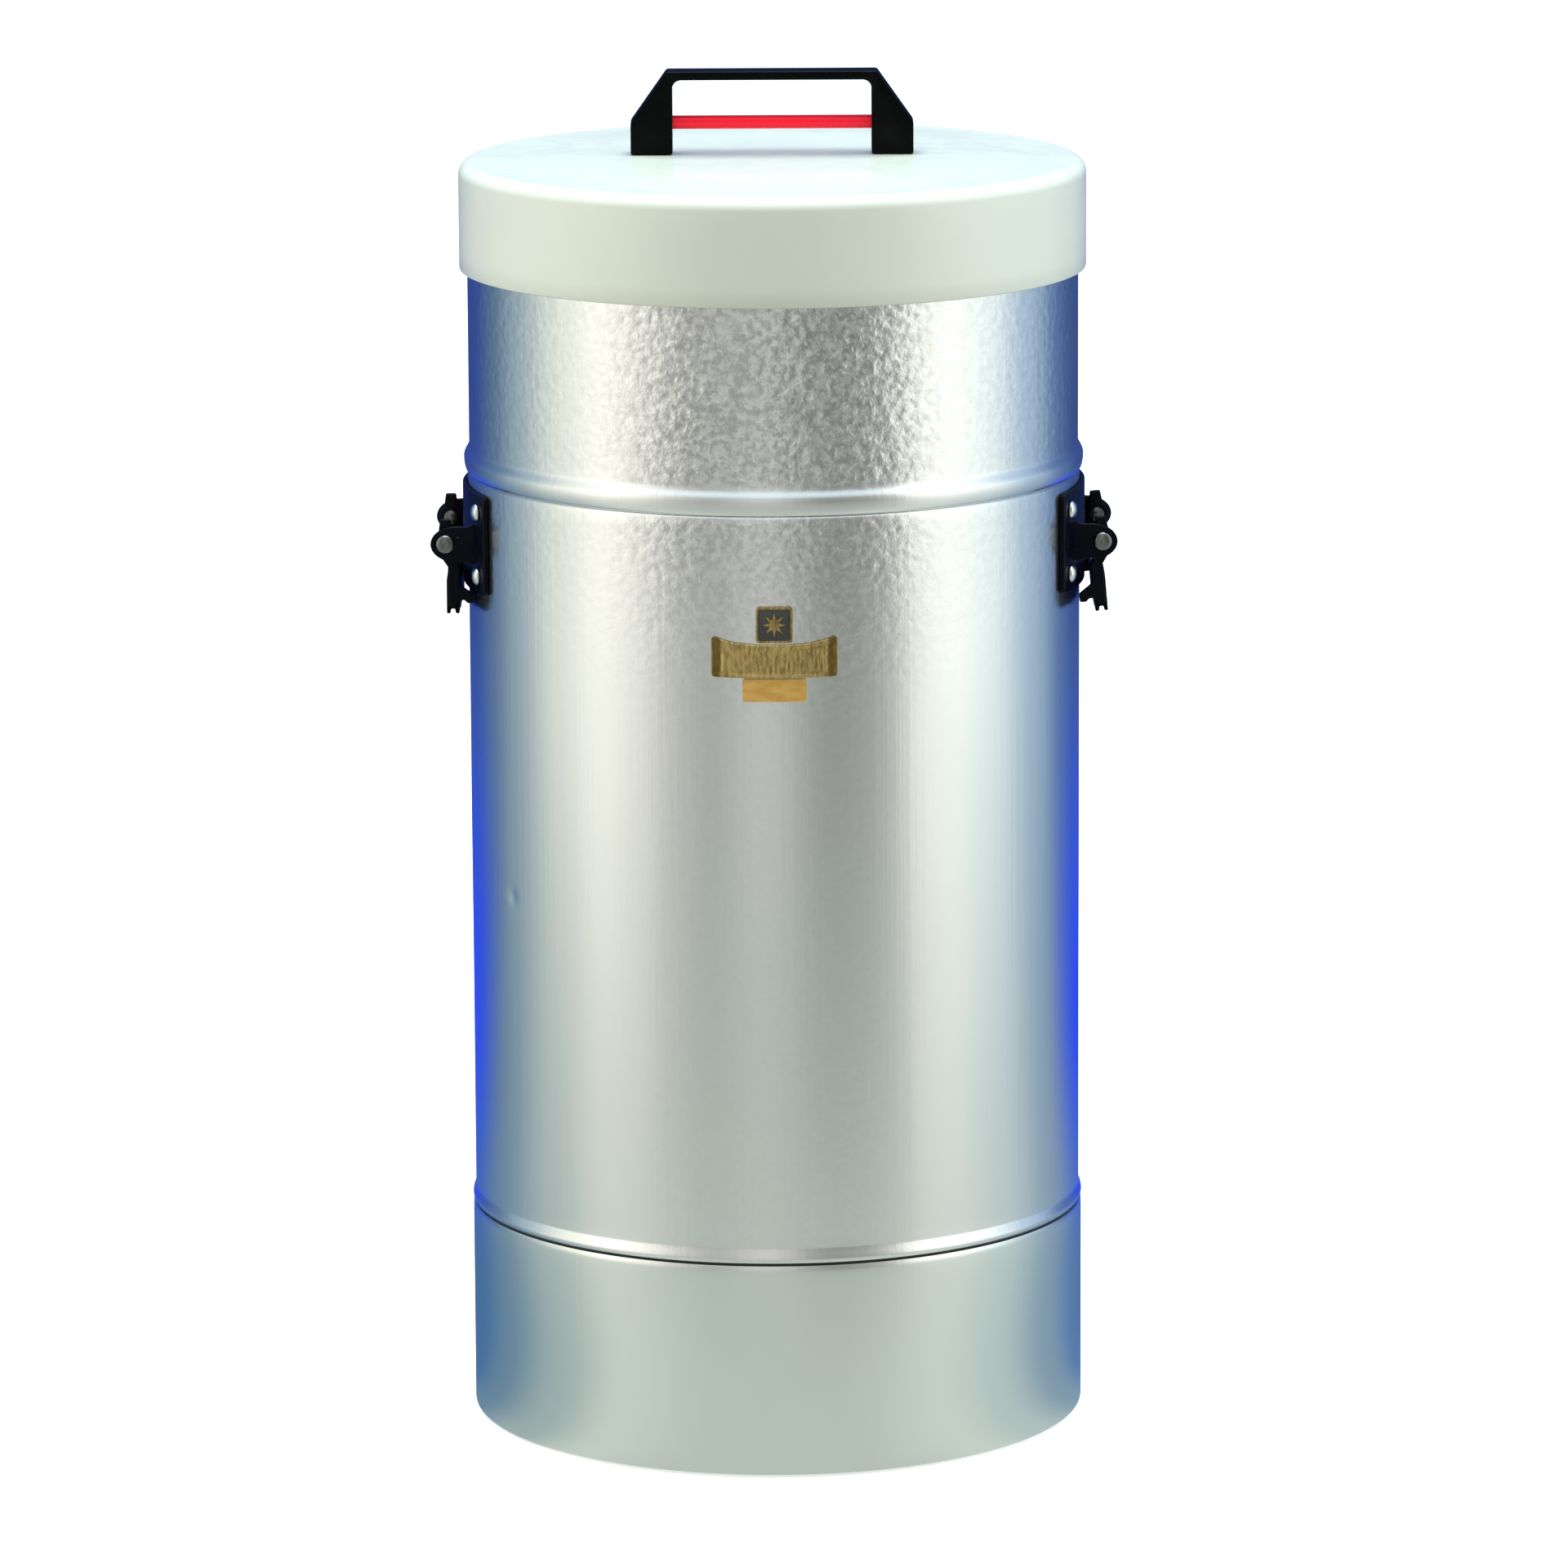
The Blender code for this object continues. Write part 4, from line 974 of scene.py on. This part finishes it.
def pin_mesh(end):
    """A pivot pin: domed head with a dimple outside the ear, closed over inside the arm."""
    face, tip = EAR_Y + EAR_THICK / 2 + GAP, ARM_Y - ARM_THICK / 2 - GAP
    profile = [(0, face + PIN_HEAD - 0.5), (1.0, face + PIN_HEAD - 0.42),
               (1.6, face + PIN_HEAD - 0.1)]
    profile += arc((0, face + 0.5), (PIN_HEAD_R, PIN_HEAD - 0.5), 72, 0, 10)
    profile += [(PIN_HEAD_R - 0.1, face + 0.15), (PIN_HEAD_R - 0.4, face), (2.5, face)]
    profile += [(2.5, tip), (3.5, tip), (3.2, tip - 0.8), (2.4, tip - 1.1), (0, tip - 1.2)]
    bm = turned(profile, 36, closed=False)
    place = Matrix.Translation(PIVOT) @ spin(-90 * end, "X")
    bmesh.ops.transform(bm, matrix=place, verts=bm.verts)
    return bm


def side_handle(side):
    turn = spin(TURN[side])
    swing = turn @ Matrix.Translation(PIVOT) @ spin(-SWING[side], "Y")
    body = f"{side}_side_handle"
    piece(f"{side}_plate", plate_with_ears(), "lacquer", [f"{side}_handle_plate"], turn)
    places = [(y, z) for z in RIVET_Z for y in (-RIVET_Y, RIVET_Y)]
    for number, (y, z) in enumerate(places, start=1):
        piece(f"{side}_rivet_head_{number}", rivet_mesh(y, z, PLATE_OUT_R + GAP), "nickel",
              [f"{side}_rivet_{number}"], turn)
    near, far = ("front", "rear") if side == "right" else ("rear", "front")
    for name, end in ((near, -1), (far, 1)):
        piece(f"{side}_pivot_{name}", pin_mesh(end), "worn_nickel", [f"{side}_pin_{name}"],
              turn)
    piece(f"{side}_bail_arms", bail_mesh(), "lacquer", [f"{side}_bail"], swing, body)
    piece(f"{side}_moulded_grip", grip_mesh(), "black", [f"{side}_grip"], swing, body)


# ---- badge ----


def relief(outline, thick, half, heights, mesh_step=0.5):
    """A flat plate whose front is raised by heights(y, z)."""
    bm = prism(outline, 0, thick, "X")
    zs = [z for _, z in outline]
    slices(bm, 1, steps(-half, half, mesh_step))
    slices(bm, 2, steps(min(zs), max(zs), mesh_step))
    for v in bm.verts:
        if v.co.x > thick - 0.01:
            v.co.x += heights(v.co.y, v.co.z)
    return bm


def ring_plate(outer, inner, low, high):
    """A flat frame between two outlines of as many points each."""
    bm = bmesh.new()
    loops = [[bm.verts.new((x, a, b)) for a, b in outline]
             for x, outline in ((low, outer), (high, outer), (high, inner), (low, inner))]
    for one, two in zip(loops, loops[1:] + loops[:1]):
        for i in range(len(one)):
            j = (i + 1) % len(one)
            bm.faces.new((one[i], one[j], two[j], two[i]))
    bmesh.ops.recalc_face_normals(bm, faces=bm.faces)
    return bm


def star(points, outer, inner, centre_z):
    """A plain star of straight points."""
    corners = []
    for k in range(points * 2):
        turn, reach = math.pi * k / points, outer if k % 2 == 0 else inner
        corners.append((reach * math.sin(turn), centre_z + reach * math.cos(turn)))
    return corners


def badge():
    front = spin(FRONT)

    low, high = extent("nameplate")
    half, z = high.x, (low.z + high.z) / 2
    tall = (high.z - low.z) / 2
    thick = 0.8

    def stamped(y, z_at):
        """A raised border, and a hatched field between two plain ends."""
        edge = min(half - abs(y), tall - abs(z_at - z))
        border = clamped((1.6 - edge) / 0.5)
        edge_round = max(0.0, 0.5 - edge) ** 2 * 1.2
        field = 0.0
        if abs(y) < half - 7 and edge > 2.6:
            field = 0.16 * (0.5 + 0.5 * math.cos(2 * math.pi * y / 2.0))
        bar = 0.28 * clamped((0.9 - abs(abs(y) - (half - 5.6))) / 0.4)
        return 0.40 * border - edge_round + field + (bar if edge > 1.6 else 0.0)

    bm = relief(rectangle(-half, half, low.z, high.z, 1.6), thick, half, stamped)
    for v in bm.verts:  # a ribbon: its ends stand higher than its middle
        out, up = abs(v.co.y) / half, (v.co.z - z + tall) / (2 * tall)
        v.co.z += 3.4 * up * out**3 - 0.6 * (1 - out * out)
    piece("stamped_nameplate", bent(bm, BADGE_R, half), "brass", ["nameplate"], front, sharp=50)

    low, high = extent("emblem_tile")
    half, z = high.x, (low.z + high.z) / 2
    outer = rectangle(-half, half, low.z, high.z, 1.4)
    inner = rectangle(1.1 - half, half - 1.1, low.z + 1.1, high.z - 1.1, 0.8)
    bm = soften(prism(inner, 0, 1.0, "X"), 0.15, 2)
    piece("emblem_enamel_tile", bent(bm, BADGE_R, half, 1.5), "enamel", ["emblem_tile"], front)
    bm = soften(ring_plate(outer, inner, 0, 1.2), 0.2, 2)
    piece("emblem_border", bent(bm, BADGE_R, half, 1.5), "dark_brass", matrix=front)
    bm = soften(prism(star(8, 5.6, 2.2, z), 0.9, 1.35, "X"), 0.12, 2)
    piece("emblem_star", bent(bm, BADGE_R, half, 1.5), "dark_brass", matrix=front)

    low, high = extent("label_strip")
    half = high.x

    def creased(y, z_at):
        return 0.10 * noise.noise(Vector((y / 6, z_at / 4, 3.7)))

    bm = relief(rectangle(-half, half, low.z, high.z, 0.7), 0.5, half, creased, 0.8)
    piece("blank_label", bent(bm, BADGE_R, half), "amber", ["label_strip"], front)


# ---- studio ----

# The tones of what the metal mirrors, by the angle from the front, positive to the right
FAR_TONES = [
    (-180, 0.02, 0.05, 0.30), (-148, 0.03, 0.07, 0.34),
    (-128, 0.10, 0.19, 0.32), (-110, 0.36, 0.48, 0.55),
    (-84, 1.02, 1.06, 0.94), (-67, 1.42, 1.40, 1.25),
    (-50, 1.05, 1.04, 0.95), (-38, 0.62, 0.61, 0.58),
    (-24, 0.42, 0.43, 0.41), (-4, 0.66, 0.67, 0.64),
    (20, 0.26, 0.27, 0.25), (34, 0.32, 0.33, 0.31),
    (45, 0.52, 0.53, 0.51), (52, 1.20, 1.22, 1.14),
    (68, 1.38, 1.44, 1.33), (84, 1.10, 1.22, 1.20),
    (110, 0.44, 0.60, 0.78), (134, 0.08, 0.16, 0.38),
    (150, 0.04, 0.08, 0.28), (180, 0.02, 0.05, 0.30),
]
NEAR_TONES = [
    (-180, 0.06, 0.14, 0.30), (-148, 0.06, 0.16, 0.36),
    (-118, 0.14, 0.25, 0.36), (-84, 0.36, 0.45, 0.45),
    (-56, 0.59, 0.66, 0.60), (-20, 0.50, 0.57, 0.51),
    (20, 0.51, 0.57, 0.52), (60, 0.61, 0.68, 0.62),
    (84, 0.48, 0.58, 0.57), (118, 0.23, 0.34, 0.45),
    (148, 0.09, 0.20, 0.44), (180, 0.06, 0.14, 0.30),
]
CAMERA_AT, CAMERA_LENS = (0.004, -4.0176, 1.086), 204.0
CAMERA_DOWN, CAMERA_ROLL = 11.18, -0.28  # degrees
TOP_STRENGTH = 1.7  # ramps hold up to 1, so their colours are stored divided by this


def bearing(tree, direction):
    """The angle of a direction from the front, as a share of the turn, and its height."""
    parts = add_node(tree, "ShaderNodeSeparateXYZ", {"Vector": direction})
    back = sums(tree, "MULTIPLY", parts.outputs["Y"], -1.0)
    turn = sums(tree, "ARCTAN2", parts.outputs["X"], back)
    return ranged(tree, turn, -math.pi, math.pi), parts.outputs["Z"]


def tones(tree, share, stops):
    ramp = tree.nodes.new("ShaderNodeValToRGB")
    tree.links.new(share, ramp.inputs["Fac"])
    ramp.color_ramp.interpolation = "EASE"
    made = ramp.color_ramp.elements
    for i, (angle, *colour) in enumerate(stops):
        position = (angle + 180) / 360
        stop = made[0] if i == 0 else made[-1] if i == len(stops) - 1 else made.new(position)
        stop.position = position
        stop.color = (*[c / TOP_STRENGTH for c in colour], 1.0)
    return ramp.outputs["Color"]


def two_faced(tree, mirrored, plain, kind):
    """Shows the camera the plain shader, and everything else the mirrored one."""
    seen = add_node(tree, "ShaderNodeLightPath").outputs["Is Camera Ray"]
    inputs = {0: seen, 1: mirrored.outputs[0], 2: plain.outputs[0]}
    either = add_node(tree, "ShaderNodeMixShader", inputs).outputs[0]
    add_node(tree, kind, {"Surface": either})


def world():
    made = bpy.data.worlds.new("studio")
    bpy.context.scene.world = made
    made.use_nodes = True
    tree = made.node_tree
    tree.nodes.clear()
    direction = add_node(tree, "ShaderNodeTexCoord").outputs["Generated"]
    share, up = bearing(tree, direction)
    sky = blend(tree, ranged(tree, up, 0.50, 0.88), tones(tree, share, FAR_TONES),
                (0.56, 0.69, 0.75))
    round_it = add_node(tree, "ShaderNodeBackground", {"Color": sky, "Strength": TOP_STRENGTH})
    white = add_node(tree, "ShaderNodeBackground", {"Color": (1, 1, 1), "Strength": 1.0})
    two_faced(tree, round_it, white, "ShaderNodeOutputWorld")


def floor():
    """A pale floor. What the metal mirrors of it takes its tone from what stands round."""
    bm = bmesh.new()
    bmesh.ops.create_circle(bm, cap_ends=True, segments=96, radius=14.0)
    mesh = bpy.data.meshes.new("floor")
    bm.to_mesh(mesh)
    bm.free()
    made = bpy.data.objects.new("floor", mesh)
    bpy.context.scene.collection.objects.link(made)
    look = bpy.data.materials.new("pale_floor")
    look.use_nodes = True
    tree = look.node_tree
    tree.nodes.clear()
    place = add_node(tree, "ShaderNodeTexCoord").outputs["Object"]
    share, _ = bearing(tree, place)
    far = add_node(tree, "ShaderNodeVectorMath", {0: place},
                   operation="LENGTH").outputs["Value"]
    # close to the foot, a mirrored point stands less far round than its reflection does
    wide = sums(tree, "MULTIPLY", sums(tree, "SUBTRACT", share, 0.5),
                ranged(tree, far, 0.18, 0.5, 1.35, 1.0))
    share = sums(tree, "ADD", wide, 0.5)
    colour = blend(tree, ranged(tree, far, 0.3, 2.5, 1.0, 0.0),
                   tones(tree, share, FAR_TONES), tones(tree, share, NEAR_TONES))
    # a deep blue ring behind, at middle distance
    aside = sums(tree, "ABSOLUTE", sums(tree, "SUBTRACT", share, 0.5))
    behind = ranged(tree, aside, 0.33, 0.41)
    ring = sums(tree, "MULTIPLY", ranged(tree, far, 0.35, 0.8),
                ranged(tree, far, 1.1, 2.0, 1.0, 0.0))
    colour = blend(tree, sums(tree, "MULTIPLY", behind, ring), colour, (0.012, 0.045, 0.60))
    strength = ranged(tree, far, 0.3, 0.9, TOP_STRENGTH, 0.88 * TOP_STRENGTH)
    mirrored = add_node(tree, "ShaderNodeEmission", {"Color": colour, "Strength": strength})
    painted = add_node(tree, "ShaderNodeBsdfDiffuse", {"Color": (0.9, 0.9, 0.9)})
    glow = add_node(tree, "ShaderNodeEmission", {"Color": (1, 1, 1), "Strength": 0.45})
    pale = add_node(tree, "ShaderNodeAddShader", {0: painted.outputs[0], 1: glow.outputs[0]})
    two_faced(tree, mirrored, pale, "ShaderNodeOutputMaterial")
    look.cycles.emission_sampling = "NONE"
    mesh.materials.append(look)


def softbox(name, at, aim, size, energy, colour, mirrored=True):
    """An area light at a point in metres, turned towards aim. mirrored shows it in metal."""
    data = bpy.data.lights.new(name, "AREA")
    data.shape = "RECTANGLE"
    data.size, data.size_y = size
    data.energy = energy
    data.color = colour
    made = bpy.data.objects.new(name, data)
    made.location = at
    made.rotation_euler = (Vector(aim) - Vector(at)).to_track_quat("-Z", "Y").to_euler()
    made.visible_camera = False
    made.visible_glossy = mirrored
    bpy.context.scene.collection.objects.link(made)
    return made


def camera():
    data = bpy.data.cameras.new("camera")
    data.lens, data.sensor_width = CAMERA_LENS, 36.0
    data.clip_start, data.clip_end = 0.1, 60.0
    made = bpy.data.objects.new("camera", data)
    bpy.context.scene.collection.objects.link(made)
    made.matrix_world = (Matrix.Translation(CAMERA_AT) @ spin(90 - CAMERA_DOWN, "X")
                         @ spin(CAMERA_ROLL))
    bpy.context.scene.camera = made


# ---- assembly ----


def main():
    camera()
    world()
    floor()
    softbox("overhead", (0.0, 0.1, 2.6), (0, 0, 0.4), (1.6, 1.6), 58.0, (0.87, 0.99, 1.0))
    for name, x, colour in (("left_strip", -1.75, (1.0, 0.99, 0.93)),
                            ("right_strip", 1.75, (0.97, 0.99, 1.0))):
        softbox(name, (x, -0.3, 0.9), (0, 0, 0.35), (0.25, 1.5), 13.0, colour, False)
    bpy.context.scene.view_settings.view_transform = "Standard"
    LOOKS.update({
        "mottled": (sheet_aluminium("rolled_aluminium", 1.0), "casing_aluminium"),
        "smooth": (sheet_aluminium("drawn_aluminium", 0.05, (0.98, 1.0, 0.98)),
                   "casing_aluminium"),
        "cream": (cream_moulding(), "lid_plastic"),
        "white": (clouded("white_moulding", ((0.70, 0.71, 0.68), (0.76, 0.77, 0.74)), (30.0,),
                          (5.0,), (0.40, 0.52), (0.9, 2.0), 0.012), "neck_plastic"),
        "black": (black_moulding(), "black_plastic"),
        "red": (clouded("red_rod", ((0.96, 0.002, 0.020), (1.0, 0.006, 0.035)), ROD_LINES,
                        ROD_LINES, (0.28, 0.36), ROD_LINES, 0.014, specular_ior_level=0.3),
                "red_plastic"),
        "lacquer": (black_lacquer(), "black_steel"),
        "nickel": (nickel("nickel", 1.0), "bright_steel"),
        "worn_nickel": (nickel("worn_nickel", 0.26), "bright_steel"),
        "glass": (silvered_glass(), "silvered_glass"),
        "brass": (stamped_brass("stamped_brass", 1.0, extent("nameplate")[1].x - 4.2), "brass"),
        "dark_brass": (stamped_brass("aged_brass", 0.8), "brass"),
        "enamel": (clouded("black_enamel", ((0.018, 0.019, 0.014), (0.034, 0.033, 0.024)),
                           (2.4,), (2.4,), (0.24, 0.36), (1.1, 2.0), 0.02, coat_weight=0.8,
                           coat_roughness=0.08), "emblem_enamel"),
        "amber": (amber_foil(), "amber_label"),
        "silicone": (clouded("grey_silicone", ((0.57, 0.57, 0.55), (0.66, 0.66, 0.64)),
                             (14.0, 4.0), (14.0, 4.0), (0.50, 0.62), (0.6,), 0.02),
                     "gasket_silicone"),
        "rubber": (rubber(), "black_rubber"),
        "foam": (bead_foam(), "insulation_foam"),
        "felt": (felt(), "packing_felt"),
    })
    for build in (casing, neck, flask, packing, lid, bow_handle):
        build()
    for side in ("right", "left"):
        side_handle(side)
    badge()
    for node in ("handle_strap", "handle_screw_left", "handle_screw_right"):
        frame["nodes"][node].data.materials.clear()
        frame["nodes"][node].data.materials.append(LOOKS["nickel"][0])


main()
